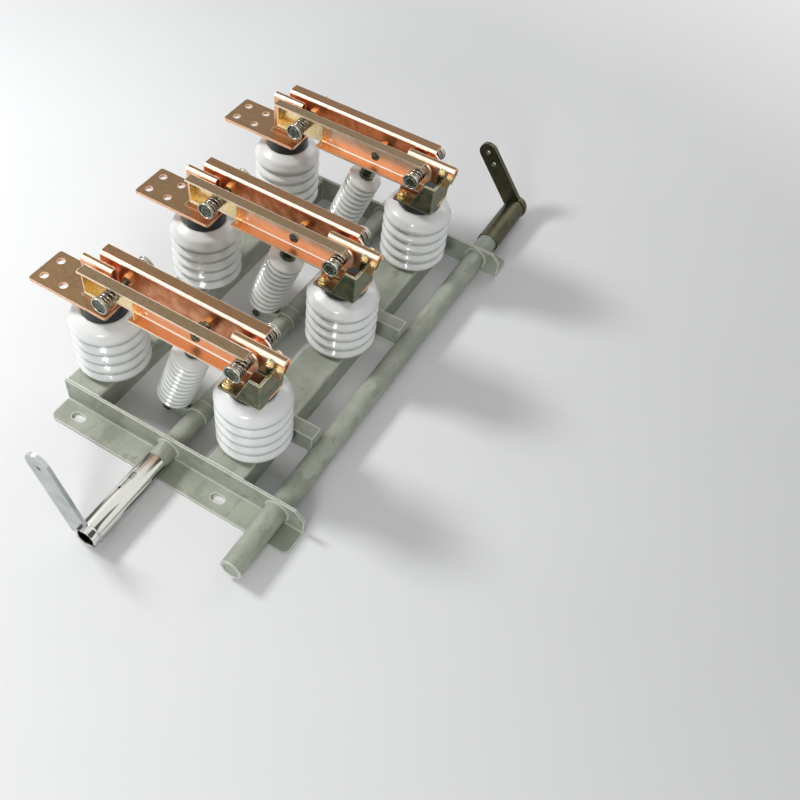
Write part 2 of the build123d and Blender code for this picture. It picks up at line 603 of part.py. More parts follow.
def springs():
    """Four coil springs of one pole."""
    contact_x = PIVOT_X - SPRING_BOLT_REACH
    seat = BLADE_WEB_OUTSIDE + TRAY_SHEET
    coils = both_sides(spring_sleeve(contact_x, seat, CUP_FACE_CONTACT - CUP_LENGTH))
    return coils + both_sides(spring_sleeve(PIVOT_X, BLADE_WEB_OUTSIDE, CUP_FACE_HINGE - CUP_LENGTH))


def rod_place(y, solids):
    """Solids drawn up the Z axis from the lever pin, tilted into line with the pull rod."""
    return [Pos(LEVER_PIN_X, y, LEVER_PIN_Z) * Rot(0, ROD_TILT, 0) * solid for solid in solids]


def rod_insulator():
    """Ribbed porcelain body of a pull rod."""
    half = ROD_SHED_LAND / 2
    points = [(0, ROD_PORCELAIN_START), (ROD_NECK_RADIUS, ROD_PORCELAIN_START)]
    for n in range(ROD_SHED_COUNT):
        rim = ROD_FIRST_RIM + n * ROD_SHED_PITCH
        points += [(ROD_SHED_RADIUS, rim - half), (ROD_SHED_RADIUS, rim + half)]
        if n < ROD_SHED_COUNT - 1:
            points += [(ROD_CORE_RADIUS, rim + ROD_SHED_PITCH - half - ROD_SHED_SLOPE)]
    points += [(ROD_NECK_RADIUS, ROD_PORCELAIN_END), (0, ROD_PORCELAIN_END)]
    return turned(*points)


def rod_fitting(pin_height, joint_height, hole_radius):
    """Flat eye on its pin, a round stem and the ferrule cemented on the porcelain."""
    side = 1 if joint_height > pin_height else -1
    half = ROD_EYE_THICKNESS / 2
    stem_end = joint_height - side * FERRULE_LENGTH
    low, high = sorted((pin_height, stem_end))
    eye = bar_y(0, pin_height, -half, half, ROD_EYE_RADIUS)
    eye += box(-ROD_STEM_RADIUS, ROD_STEM_RADIUS, -half, half, low, high)
    ferrule_low, ferrule_high = sorted((joint_height, stem_end))
    eye += bar_z(0, 0, ferrule_low, ferrule_high, FERRULE_RADIUS)
    return eye - bar_y(0, pin_height, -2 * half, 2 * half, hole_radius)


def rod_fittings():
    """Both metal ends of one pull rod."""
    lower = rod_fitting(0, ROD_PORCELAIN_START, LEVER_PIN_RADIUS + LEVER_PIN_PLAY)
    upper = rod_fitting(ROD_LENGTH, ROD_PORCELAIN_END, DRIVE_PIN_RADIUS + DRIVE_PIN_GAP)
    return [lower, upper]


def shaft_lever():
    """Forked lever on the main shaft: a hub and two cheeks that drop to the rod's pin."""
    radius = LEVER_WIDTH / 2
    tilt = radians(LEVER_DROP_ANGLE)
    across = (-sin(tilt) * radius, cos(tilt) * radius)
    cheek = outline((LEVER_PIN_X + across[0], LEVER_PIN_Z + across[1]),
                    (SHAFT_X + across[0], SHAFT_Z + across[1]),
                    (SHAFT_X, SHAFT_Z - LEVER_HUB_RADIUS),
                    (LEVER_PIN_X - across[0], LEVER_PIN_Z - across[1]))
    inside = LEVER_PLATE_INSIDE
    plate = along_y(cheek, inside, inside + LEVER_PLATE)
    plate += bar_y(LEVER_PIN_X, LEVER_PIN_Z, inside, inside + LEVER_PLATE, radius)
    lever = bar_y(SHAFT_X, SHAFT_Z, -LEVER_HUB_LENGTH / 2, LEVER_HUB_LENGTH / 2, LEVER_HUB_RADIUS)
    for side in both_sides(plate):
        lever += side
    lever -= bar_y(SHAFT_X, SHAFT_Z, -LEVER_HUB_LENGTH, LEVER_HUB_LENGTH, SHAFT_RADIUS)
    return lever - bar_y(LEVER_PIN_X, LEVER_PIN_Z, -LEVER_HUB_LENGTH, LEVER_HUB_LENGTH, LEVER_PIN_RADIUS)


def lever_pin():
    """Headed pin through the fork."""
    outside = LEVER_PLATE_INSIDE + LEVER_PLATE
    pin = bar_y(LEVER_PIN_X, LEVER_PIN_Z, -outside, outside, LEVER_PIN_RADIUS)
    for head in both_sides(bar_y(LEVER_PIN_X, LEVER_PIN_Z, outside, outside + LEVER_PIN_HEAD,
                                 LEVER_PIN_HEAD_RADIUS)):
        pin += head
    return pin


def crank_arm():
    """Flat crank bar welded to the side of the near sleeve, with one hole near its round tip."""
    lean = radians(CRANK_LEAN)
    half = CRANK_WIDTH / 2
    straight = CRANK_TIP_REACH - half
    bar = outline((-CRANK_SIDE_STEP - half, -CRANK_FOOT), (-CRANK_SIDE_STEP + half, -CRANK_FOOT),
                  (-CRANK_SIDE_STEP + half, straight), (-CRANK_SIDE_STEP - half, straight))
    bar += Pos(-CRANK_SIDE_STEP, straight) * Circle(half)
    bar -= Pos(-CRANK_SIDE_STEP, CRANK_HOLE_REACH) * Circle(CRANK_HOLE_RADIUS)
    bar -= Circle(SLEEVE_RADIUS)
    face = Pos(SHAFT_X, SHAFT_Z) * Rot(0, 0, degrees(lean)) * bar
    y0 = SLEEVE_MOUTH_Y + CRANK_INSET
    return along_y(face, y0, y0 + CRANK_THICKNESS)


def on_shaft(lean, solid):
    """Solid drawn over the Z axis, set on the main shaft's axis and turned about it."""
    return Pos(SHAFT_X, 0, SHAFT_Z) * Rot(0, -lean, 0) * solid


def crank_sleeve():
    """Plated sleeve on the near end of the main shaft, with a step, a keyhole notch and a pin hole."""
    y0 = SLEEVE_MOUTH_Y
    y1 = y0 + SLEEVE_REACH
    shaft_end = y1 - SHAFT_IN_SLEEVE
    step_start = y1 - SLEEVE_STEP_LENGTH
    sleeve = bar_y(SHAFT_X, SHAFT_Z, y0, step_start, SLEEVE_RADIUS)
    sleeve += bar_y(SHAFT_X, SHAFT_Z, step_start, y1, SLEEVE_RADIUS - SLEEVE_STEP_DEPTH)
    sleeve -= bar_y(SHAFT_X, SHAFT_Z, shaft_end, y1 + 1, SHAFT_RADIUS + SLEEVE_FIT)
    sleeve -= bar_y(SHAFT_X, SHAFT_Z, y0 - 1, y1, SLEEVE_MOUTH_RADIUS)
    notch_end = y1 - SLEEVE_NOTCH_START
    notch = box(-SLEEVE_NOTCH_WIDTH / 2, SLEEVE_NOTCH_WIDTH / 2, notch_end - SLEEVE_NOTCH_LENGTH, notch_end,
                0, 2 * SLEEVE_RADIUS)
    sleeve -= on_shaft(SLEEVE_NOTCH_LEAN, notch)
    return sleeve - on_shaft(SLEEVE_HOLE_LEAN, bar_z(0, y1 - SLEEVE_HOLE_PLACE, 0, 2 * SLEEVE_RADIUS,
                                                     SLEEVE_HOLE_RADIUS))


def main_shaft():
    """Painted tube through both end webs, ending inside the sleeve."""
    y0 = SLEEVE_MOUTH_Y + SLEEVE_REACH - SHAFT_IN_SLEEVE
    y1 = WEB_OUTSIDE_Y + SHAFT_FAR_STUB
    tube = bar_y(SHAFT_X, SHAFT_Z, y0, y1, SHAFT_RADIUS)
    return tube - bar_y(SHAFT_X, SHAFT_Z, y0 - 1, y1 + 1, SHAFT_BORE)


def side_shaft():
    """Second tube through both end webs, open at its near end."""
    y0 = -WEB_OUTSIDE_Y - SIDE_NEAR_REACH
    y1 = WEB_OUTSIDE_Y + SIDE_SLEEVE_START + SIDE_FAR_STUB
    tube = bar_y(SIDE_SHAFT_X, SHAFT_Z, y0, y1, SIDE_SHAFT_RADIUS)
    return tube - bar_y(SIDE_SHAFT_X, SHAFT_Z, y0 - 1, y1 + 1, SIDE_SHAFT_BORE)


def side_sleeve():
    """Sleeve on the far end of the side shaft."""
    y0 = WEB_OUTSIDE_Y + SIDE_SLEEVE_START
    y1 = WEB_OUTSIDE_Y + SIDE_SLEEVE_REACH
    sleeve = bar_y(SIDE_SHAFT_X, SHAFT_Z, y0, y1, SIDE_SLEEVE_RADIUS)
    return sleeve - bar_y(SIDE_SHAFT_X, SHAFT_Z, y0 - 1, y1 + 1, SIDE_SHAFT_RADIUS + SLEEVE_FIT)


def side_crank():
    """Flat crank bar round the far sleeve, with two holes and a round tip."""
    half = SIDE_CRANK_WIDTH / 2
    straight = SIDE_CRANK_TIP_REACH - half
    bar = outline((-half, 0), (half, 0), (half, straight), (-half, straight))
    bar += Pos(0, straight) * Circle(half)
    bar += Circle(SIDE_SLEEVE_RADIUS + SIDE_CRANK_RING)
    bar -= Circle(SIDE_SLEEVE_RADIUS)
    for n in (0, 1):
        bar -= Pos(0, SIDE_CRANK_HOLE_REACH + n * SIDE_CRANK_HOLE_PITCH) * Circle(SIDE_CRANK_HOLE_RADIUS)
    face = Pos(SIDE_SHAFT_X, SHAFT_Z) * Rot(0, 0, SIDE_CRANK_LEAN) * bar
    y1 = WEB_OUTSIDE_Y + SIDE_SLEEVE_REACH - SIDE_CRANK_INSET
    return along_y(face, y1 - SIDE_CRANK_THICKNESS, y1)


os.makedirs("parts", exist_ok=True)

# Base frame and bearings
save("end_angle_far", end_angle())
save("end_angle_near", mirror(end_angle(), Plane.XZ))
save("contact_rail", rail(CONTACT_X))
save("hinge_rail", rail(PIVOT_X))
main_bearings = both_sides(shaft_bearing(SHAFT_X, SHAFT_RADIUS))
side_bearings = both_sides(shaft_bearing(SIDE_SHAFT_X, SIDE_SHAFT_RADIUS))
save("shaft_bearings", main_bearings + side_bearings)
save("shaft_hangers", [shaft_hanger(y) for y in HANGER_PLACES])

# Post insulators
POST_PLACES = [(x, y) for x in (CONTACT_X, PIVOT_X) for y in POLES]
save("post_feet", [bar_z(x, y, RAIL_HEIGHT, RAIL_HEIGHT + FOOT_HEIGHT, FOOT_RADIUS) for x, y in POST_PLACES])
save("contact_posts", [post(CONTACT_X, y) for y in POLES])
save("hinge_posts", [post(PIVOT_X, y) for y in POLES])
save("post_caps", [bar_z(x, y, POST_TOP - CAP_HEIGHT, POST_TOP, CAP_RADIUS) for x, y in POST_PLACES])

# Fixed contacts and hinge brackets
save("terminal_pads", [Pos(0, y, 0) * terminal_pad() for y in POLES])
save("fixed_contacts", [Pos(0, y, 0) * fixed_contact() for y in POLES])
save("hinge_brackets", [Pos(0, y, 0) * hinge_bracket() for y in POLES])
save("hinge_contacts", [solid for y in POLES for solid in at_pole(y, hinge_contact())])
save("hinge_bolts", [solid for y in POLES for solid in at_pole(y, hinge_bolts() + [base_bolt()])])

# Shafts and cranks
save("main_shaft", main_shaft())
save("shaft_levers", [Pos(0, y, 0) * shaft_lever() for y in POLES])
save("lever_pins", [Pos(0, y, 0) * lever_pin() for y in POLES])
save("crank_sleeve", crank_sleeve())
save("crank_arm", crank_arm())
save("side_shaft", side_shaft())
save("side_sleeve", side_sleeve())
save("side_crank", side_crank())

# Blades, springs and pull rods of each pole
for number, y in enumerate(POLES, start=1):
    near, far = mirror(far_blade(), Plane.XZ), far_blade()
    save(f"near_blade_{number}", Pos(0, y, 0) * near)
    save(f"far_blade_{number}", Pos(0, y, 0) * far)
    save(f"press_plates_{number}", at_pole(y, both_sides(press_plate())))
    bolts = [spring_bolt(PIVOT_X - SPRING_BOLT_REACH, CUP_FACE_CONTACT), spring_bolt(PIVOT_X, CUP_FACE_HINGE)]
    save(f"spring_bolts_{number}", at_pole(y, bolts + [drive_pin()]))
    save(f"springs_{number}", at_pole(y, springs()))
    save(f"rod_insulator_{number}", rod_place(y, [rod_insulator()]))
    save(f"rod_fittings_{number}", rod_place(y, rod_fittings()))
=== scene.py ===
# %% [markdown]
# # Three-pole indoor disconnector
# Twin copper blades on ribbed white porcelain posts, lifted by porcelain pull rods from a shaft in a
# painted steel base. The CAD model gives every piece its place and its motion. This lesson gives the pieces
# their real surfaces, and remakes those whose looks a plain solid can't carry: glazed posts and rods,
# springs and bolts.

# %% Load the CAD model
import bmesh
import bpy
import math
import random
from mathutils import Matrix, Quaternion, Vector


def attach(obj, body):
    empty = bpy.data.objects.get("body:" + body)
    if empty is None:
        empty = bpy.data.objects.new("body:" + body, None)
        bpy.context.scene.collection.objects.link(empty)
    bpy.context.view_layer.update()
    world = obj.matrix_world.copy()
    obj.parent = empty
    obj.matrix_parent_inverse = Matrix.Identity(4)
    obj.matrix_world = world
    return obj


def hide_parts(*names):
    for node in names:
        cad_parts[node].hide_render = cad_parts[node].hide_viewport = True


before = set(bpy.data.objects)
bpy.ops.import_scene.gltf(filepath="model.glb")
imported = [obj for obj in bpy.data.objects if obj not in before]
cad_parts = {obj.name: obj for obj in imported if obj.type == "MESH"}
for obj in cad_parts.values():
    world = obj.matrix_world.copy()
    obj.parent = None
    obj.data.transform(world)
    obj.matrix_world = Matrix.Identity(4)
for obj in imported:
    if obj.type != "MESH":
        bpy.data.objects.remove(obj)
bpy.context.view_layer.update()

# %% [markdown]
# Sizes are written in millimetres, as on a drawing, and turned into metres in one place. These repeat the
# CAD model's main ones: the pole spacing, the two rows of posts, the blades' pivot and the two shafts. The
# random numbers that make the welds uneven start from a seed, so every run gives the same welds.

# %% Main sizes
MM = 0.001
POLES = {1: -250.0, 2: 0.0, 3: 250.0}
CONTACT_X = -143.0
PIVOT_X = 133.0
PIVOT_Z = 243.0
RAIL_TOP = 49.0
MAIN_SHAFT_X = 28.5
SIDE_SHAFT_X = 231.0
SHAFT_Z = 26.0
random.seed(7)
print("poles are", POLES[2] - POLES[1], "mm apart, posts", PIVOT_X - CONTACT_X, "mm")

# %% [markdown]
# A finish is a tree of nodes that works out colour, gloss and relief at each point. It could be wired by
# hand in the shader editor. In a script, one function that adds a node with its settings and links serves
# for any tree. Colours are picked as hex codes, as on a paint card, and turned into the linear values that
# light adds up in.

# %% Colours and nodes


def colour(code):
    """Linear colour of an sRGB hex code."""
    channels = [int(code[start:start + 2], 16) / 255 for start in (1, 3, 5)]
    linear = [c / 12.92 if c <= 0.04045 else ((c + 0.055) / 1.055) ** 2.4 for c in channels]
    return (*linear, 1.0)


def add(tree, kind, sockets=None, **settings):
    """Add a node. Settings are its properties, and sockets its inputs by name or number. An input gets a
    value, or a link from an output or from a node's first output in use."""
    node = tree.nodes.new(kind)
    for name, value in settings.items():
        setattr(node, name, value)
    for name, value in (sockets or {}).items():
        socket = next(s for number, s in enumerate(node.inputs) if s.enabled and name in (number, s.name))
        if isinstance(value, bpy.types.Node):
            value = next(output for output in value.outputs if output.enabled)
        if isinstance(value, bpy.types.NodeSocket):
            tree.links.new(value, socket)
        else:
            socket.default_value = value
    return node


def new_finish(name):
    """Empty material and its tree."""
    made = bpy.data.materials.new(name)
    made.use_nodes = True
    made.node_tree.nodes.clear()
    return made, made.node_tree


def shade(finish, sockets):
    """Close a finish with one shader that has these inputs."""
    tree = finish.node_tree
    shader = add(tree, "ShaderNodeBsdfPrincipled", sockets)
    add(tree, "ShaderNodeOutputMaterial", {"Surface": shader})
    print(finish.name, "is a tree of", len(tree.nodes), "nodes")


print("middle grey #808080 is", round(colour("#808080")[0], 3), "in linear light")

# %% [markdown]
# No real surface has one flat colour. Clouds, rolling marks and brush strokes can all be drawn as noise,
# more or less stretched, whose size is given in millimetres so that it can be judged by the real thing. An
# image would need the piece unwrapped, and noise in object coordinates doesn't. Edges wear first: the bevel
# node bends the surface direction near an edge, so where that differs from the true one, paint or film is
# thin.

# %% Patterns and worn edges
NOISE_ROUGHNESS = 0.55
NOISE_LOW = 0.3
NOISE_HIGH = 0.7
FULL_RANGE = (NOISE_LOW, NOISE_HIGH)
BEVEL_SAMPLES = 4
EDGE_STARTS = 0.99
EDGE_IS_FULL = 0.93


def pattern(tree, size_mm, detail=3.0, contrast=None, stretch=(1, 1, 1)):
    """Noise with features about size_mm across, longer along an axis by a factor over 1. Contrast is the part
    of its values that is spread over 0 to 1."""
    place = add(tree, "ShaderNodeTexCoord").outputs["Object"]
    scale = [1 / MM / size_mm / factor for factor in stretch]
    mapped = add(tree, "ShaderNodeMapping", {"Vector": place, "Scale": scale})
    noise = add(tree, "ShaderNodeTexNoise",
                {"Vector": mapped, "Scale": 1.0, "Detail": detail, "Roughness": NOISE_ROUGHNESS})
    if contrast is None:
        return noise
    low, high = contrast
    return add(tree, "ShaderNodeMapRange", {"Value": noise, "From Min": low, "From Max": high})


def worn_edges(tree, width_mm):
    """1 along worn or cut edges, 0 on faces."""
    bevel = add(tree, "ShaderNodeBevel", {"Radius": width_mm * MM}, samples=BEVEL_SAMPLES)
    true_normal = add(tree, "ShaderNodeNewGeometry").outputs["Normal"]
    agreement = add(tree, "ShaderNodeVectorMath", {0: bevel, 1: true_normal}, operation="DOT_PRODUCT")
    return add(tree, "ShaderNodeMapRange",
               {"Value": agreement, "From Min": EDGE_STARTS, "From Max": EDGE_IS_FULL})


print("most noise lies between", NOISE_LOW, "and", NOISE_HIGH)

# %% [markdown]
# The floor stands for the paper of a photo studio: plain and pale, so that it shows the shadow and nothing
# else. A curved backdrop would hide the horizon, but would stand in the way of a camera behind it. So the
# paper fades into white a long way from the object. The fade acts only for rays that see the floor,
# directly or by reflection. Rays that carry light from it meet plain paper, and the object gets no extra
# light.

# %% Floor
FLOOR_REACH = 6.0
FADE_STARTS = 1.1
FADE_ENDS = 2.6


def seen_not_lighting(tree):
    """1 for rays from the camera or through a reflection or refraction, 0 for rays that carry light."""
    path = add(tree, "ShaderNodeLightPath")
    seen = add(tree, "ShaderNodeMath", {0: path.outputs["Is Camera Ray"], 1: path.outputs["Is Glossy Ray"]},
               operation="MAXIMUM")
    return add(tree, "ShaderNodeMath", {0: seen, 1: path.outputs["Is Transmission Ray"]},
               operation="MAXIMUM")


corners = [(x * FLOOR_REACH, y * FLOOR_REACH, 0) for x, y in ((-1, -1), (1, -1), (1, 1), (-1, 1))]
floor_mesh = bpy.data.meshes.new("floor")
floor_mesh.from_pydata(corners, [], [(0, 1, 2, 3)])
floor = bpy.data.objects.new("floor", floor_mesh)
bpy.context.collection.objects.link(floor)

pale_paper, tree = new_finish("pale_paper")
sheet = add(tree, "ShaderNodeMix", {"Factor": pattern(tree, 400),
                                    "A": colour("#e6e7e8"), "B": colour("#ecedee")}, data_type="RGBA")
paper = add(tree, "ShaderNodeBsdfPrincipled", {"Base Color": sheet, "Roughness": 0.6})
far_off = add(tree, "ShaderNodeVectorMath", {0: add(tree, "ShaderNodeTexCoord").outputs["Object"]},
              operation="LENGTH")
far = add(tree, "ShaderNodeMapRange", {"Value": far_off, "From Min": FADE_STARTS, "From Max": FADE_ENDS})
fade = add(tree, "ShaderNodeMath", {0: far, 1: seen_not_lighting(tree)}, operation="MULTIPLY")
white = add(tree, "ShaderNodeEmission", {"Color": colour("#ffffff"), "Strength": 1.0})
blend = add(tree, "ShaderNodeMixShader", {0: fade, 1: paper, 2: white})
add(tree, "ShaderNodeOutputMaterial", {"Surface": blend})
floor_mesh.materials.append(pale_paper)
print("floor is", 2 * FLOOR_REACH, "m square and white from", FADE_ENDS, "m outwards")

# %% [markdown]
# A soft lamp stands high on the contact side, a weaker one in front and one behind, and the world fills the
# rest. A sun would give hard shadows, and an image of a real room isn't needed for plain studio light.
# Copper and glaze look like what they mirror, so the world is white where it is seen or mirrored, and
# dimmer where it only lights.

# %% Lamps and world
AIM = Vector((0, 0, 0.1))
FILL_LEVEL = 0.34


def lamp(name, place, size, watts):
    """Square soft lamp aimed at the object."""
    data = bpy.data.lights.new(name, "AREA")
    data.size = size
    data.energy = watts
    made = bpy.data.objects.new(name, data)
    made.location = place
    made.rotation_mode = "QUATERNION"
    made.rotation_quaternion = (AIM - Vector(place)).to_track_quat("-Z", "Y")
    bpy.context.collection.objects.link(made)


lamp("key_lamp", (-1.5, -0.35, 1.6), 0.4, 30)
lamp("fill_lamp", (0.5, -2.0, 1.1), 0.5, 13)
lamp("back_lamp", (0.4, 2.0, 1.4), 1.2, 6)

world = bpy.data.worlds.new("studio")
world.use_nodes = True
tree = world.node_tree
tree.nodes.clear()
level = add(tree, "ShaderNodeMapRange",
            {"Value": seen_not_lighting(tree), "To Min": FILL_LEVEL, "To Max": 1.0})
background = add(tree, "ShaderNodeBackground", {"Color": colour("#ffffff"), "Strength": level})
add(tree, "ShaderNodeOutputWorld", {"Surface": background})
bpy.context.scene.world = world
bpy.context.scene.view_settings.view_transform = "Standard"
print(len(bpy.data.lights), "lamps, and a world at", FILL_LEVEL)

# %% [markdown]
# The camera's place, turn and lens were fitted so that round ends, shed rims and straight edges fall where
# the photograph has them. It could be placed by eye, but the blades' slant would then be a few degrees off.
# A small shift of the frame puts the object left of the middle.

# %% Camera
CAMERA_PLACE = (0.64183, -0.94123, 1.24824)
CAMERA_AZIMUTH = 26.477
CAMERA_ELEVATION = 51.05
CAMERA_ROLL = 6.165
CAMERA_LENS = 42.568
CAMERA_SHIFT = (0.055, -0.022)

camera_data = bpy.data.cameras.new("camera")
camera_data.lens = CAMERA_LENS
camera_data.shift_x, camera_data.shift_y = CAMERA_SHIFT
camera = bpy.data.objects.new("camera", camera_data)
camera.location = CAMERA_PLACE
camera.rotation_mode = "QUATERNION"
camera.rotation_quaternion = (Quaternion((0, 0, 1), math.radians(CAMERA_AZIMUTH))
                              @ Quaternion((1, 0, 0), math.radians(90 - CAMERA_ELEVATION))
                              @ Quaternion((0, 0, 1), math.radians(CAMERA_ROLL)))
bpy.context.collection.objects.link(camera)
bpy.context.scene.camera = camera
print("camera is", round(camera.location.length, 3), "m from the middle of the base")

# %% [markdown]
# The base is welded steel, brushed with grey-green enamel. Enamel is a hard oil paint: the eye sees a satin
# shine, slightly clouded where the coat is uneven, with pale lines where the brush drags it off cut edges.
# Scanned paint would repeat, and painting by hand would take long, so clouds, smears and strokes are three
# patterns of noise. The bristles' own marks are too fine to show, and the strokes are drawn 6 mm wide
# instead.

# %% Brushed enamel
frame_paint, tree = new_finish("grey_green_enamel")
coat = add(tree, "ShaderNodeMix", {"Factor": pattern(tree, 55, 5, contrast=(0.38, 0.62)),
                                   "A": colour("#979d8f"), "B": colour("#acb1a3")}, data_type="RGBA")
smears = pattern(tree, 22, contrast=(0.56, 0.6), stretch=(1, 2, 1))
smeared = add(tree, "ShaderNodeMix", {"Factor": smears, "A": coat, "B": colour("#969b8b")},
              data_type="RGBA")
worn = add(tree, "ShaderNodeMix", {"Factor": worn_edges(tree, 3.6), "A": smeared, "B": colour("#eceee6")},
           data_type="RGBA")
strokes = pattern(tree, 6, 4, stretch=(1, 5, 1))
satin = add(tree, "ShaderNodeMapRange", {"Value": strokes, "From Min": NOISE_LOW, "From Max": NOISE_HIGH,
                                         "To Min": 0.34, "To Max": 0.5})
relief = add(tree, "ShaderNodeBump", {"Height": strokes, "Distance": 0.07 * MM})
shade(frame_paint, {"Base Color": worn, "Roughness": satin, "Normal": relief})

# %% [markdown]
# Posts and rods are electrical porcelain: pressed clay, turned, dipped in glaze and fired. The body is an
# opaque white and the glaze is glass, so the eye sees a soft white with sharp small lights on it.
# Subsurface light would show only in thin china, so a plain body under the shader's clear coat is enough.
# The glaze ripples a little. The grooves get painted shade: a second, duller and greyer porcelain
# stands for the shadow in them.

# %% Glazed porcelain
GLAZE_IOR = 1.5

porcelain, tree = new_finish("white_glazed_porcelain")
body = add(tree, "ShaderNodeMix", {"Factor": pattern(tree, 45, contrast=FULL_RANGE),
                                   "A": colour("#e2e5e3"), "B": colour("#edefed")}, data_type="RGBA")
ripple = pattern(tree, 14, 2)
glaze = add(tree, "ShaderNodeMapRange", {"Value": ripple, "From Min": NOISE_LOW, "From Max": NOISE_HIGH,
                                         "To Min": 0.03, "To Max": 0.07})
relief = add(tree, "ShaderNodeBump", {"Height": ripple, "Distance": 0.05 * MM})
shade(porcelain, {"Base Color": body, "Roughness": 0.3, "Coat Weight": 1.0, "Coat Roughness": glaze,
                  "Coat IOR": GLAZE_IOR, "Normal": relief})

# Painted shade for the grooves: a duller, greyer porcelain.
groove_shade, tree = new_finish("painted_shade_porcelain_groove")
groove_shade_colour = add(tree, "ShaderNodeMix", {"Factor": pattern(tree, 9, contrast=FULL_RANGE),
                                   "A": colour("#aaaeaa"), "B": colour("#bfc2be")}, data_type="RGBA")
shade(groove_shade, {"Base Color": groove_shade_colour, "Roughness": 0.45, "Coat Weight": 0.5, "Coat Roughness": 0.15,
                     "Coat IOR": GLAZE_IOR})

# %% [markdown]
# Blades, pads and contacts are hard rolled copper, cut and folded cold. Handling polishes the cut edges, so
# the eye sees pale lines there, and the rounded bends get the same pale colour as a painted highlight. Faces
# that lie upward are khaki brown above a height, and the blades' lower flanges, under the upper ones, are
# darker and redder as painted shade. That could be painted by hand on each face. Here the way a face looks
# and its height decide, so all three poles look alike. Rolling marks are a tenth of a millimetre wide and
# too fine to show: they are drawn 1.6 mm wide.

# %% Rolled copper
PALE_EDGE_AND_HIGHLIGHT_COPPER = "#fff0e0"


def rolled_copper(name, dark, light, upward_tint, flange_shade, upward_tint_from):
    """Copper between two colours. Up-facing faces are khaki above a height and painted shade below it."""
    made, tree = new_finish(name)
    coordinates = add(tree, "ShaderNodeTexCoord")
    facing = add(tree, "ShaderNodeSeparateXYZ", {"Vector": coordinates.outputs["Normal"]}).outputs["Z"]
    height = add(tree, "ShaderNodeSeparateXYZ", {"Vector": coordinates.outputs["Object"]}).outputs["Z"]
    upward = add(tree, "ShaderNodeMapRange",
                 {"Value": facing, "From Min": 0.75, "From Max": 0.98, "To Max": 0.95})
    high = add(tree, "ShaderNodeMapRange",
               {"Value": height, "From Min": upward_tint_from * MM, "From Max": upward_tint_from * MM + 1 * MM})
    marks = pattern(tree, 1.6, 4, stretch=(6, 1, 1))
    clean = add(tree, "ShaderNodeMix", {"Factor": pattern(tree, 16, 4, contrast=(0.35, 0.65)),
                                        "A": colour(dark), "B": colour(light)}, data_type="RGBA")
    marked = add(tree, "ShaderNodeMapRange", {"Value": marks, "From Min": NOISE_LOW, "From Max": NOISE_HIGH})
    film = add(tree, "ShaderNodeMix", {"Factor": marked, "A": colour(upward_tint[0]), "B": colour(upward_tint[1])},
               data_type="RGBA")
    # Up-facing faces below the height take the flange colour: painted shade under the upper flanges.
    top = add(tree, "ShaderNodeMix", {"Factor": high, "A": colour(flange_shade), "B": film}, data_type="RGBA")
    upward_toned = add(tree, "ShaderNodeMix", {"Factor": upward, "A": clean, "B": top}, data_type="RGBA")
    # Bends, between flat and upright, get a painted highlight in the pale edge colour.
    leaning = add(tree, "ShaderNodeMapRange", {"Value": facing, "From Min": 0.12, "From Max": 0.35})
    not_flat = add(tree, "ShaderNodeMapRange", {"Value": facing, "From Min": 0.97, "From Max": 0.86})
    painted_bend_highlight = add(tree, "ShaderNodeMath", {0: leaning, 1: not_flat}, operation="MULTIPLY")
    # This mask holds the worn edges and the painted bend highlight.
    rubbed = add(tree, "ShaderNodeMath", {0: painted_bend_highlight, 1: worn_edges(tree, 1.4)}, operation="MAXIMUM")
    skin = add(tree, "ShaderNodeMix", {"Factor": rubbed, "A": upward_toned, "B": colour(PALE_EDGE_AND_HIGHLIGHT_COPPER)},
               data_type="RGBA")
    satin = add(tree, "ShaderNodeMapRange", {"Value": marks, "From Min": NOISE_LOW, "From Max": NOISE_HIGH,
                                             "To Min": 0.26, "To Max": 0.42})
    relief = add(tree, "ShaderNodeBump", {"Height": marks, "Distance": 0.02 * MM})
    shade(made, {"Base Color": skin, "Metallic": 1.0, "Roughness": satin, "Normal": relief})
    return made


PAD_HEIGHT = 190
copper = rolled_copper("rolled_copper", "#e9ac84", "#f5c29c", ("#725c42", "#836b4e"), "#e9ac84", PAD_HEIGHT)

# %% [markdown]
# The near blades get a lighter copper, a painted highlight, and the far blades, behind them, a darker one,
# a painted shade. Both could share the finish of the pads, but the difference shows at a glance, and costs
# one more line with other colours. The khaki of upward faces starts above the lower flanges.

# %% Copper of the blades
UPPER_FLANGE_HEIGHT = 262
# Near blades: copper lightened as painted light. Far blades: copper darkened as painted shade.
painted_lit_near_copper = rolled_copper("painted_lit_rolled_copper", "#fdd9b8", "#ffe9d2", ("#6f5e45", "#7f6b4f"), "#df9d74",
                            UPPER_FLANGE_HEIGHT)
painted_shade_far_copper = rolled_copper("painted_shade_rolled_copper", "#c67d55", "#edab83", ("#775d44", "#866a4f"), "#cf8459",
                           UPPER_FLANGE_HEIGHT)

# %% [markdown]
# The small steel parts are zinc-plated and dipped in chromate, against rust. The dip leaves a film as thin
# as a soap bubble's, so the eye sees a metal shine whose tint drifts: gold with a blush of pink on trays
# and nuts, olive where the film is thick, grey where there is none, and oily dark in the cups. A thin-film
# shader could work the tints out, but two picked colours are easier to match. Real plating is finer than
# any of this: its grit is drawn 1 to 1.5 mm wide, so that it just breaks up the shine.

# %% Zinc-plated steel


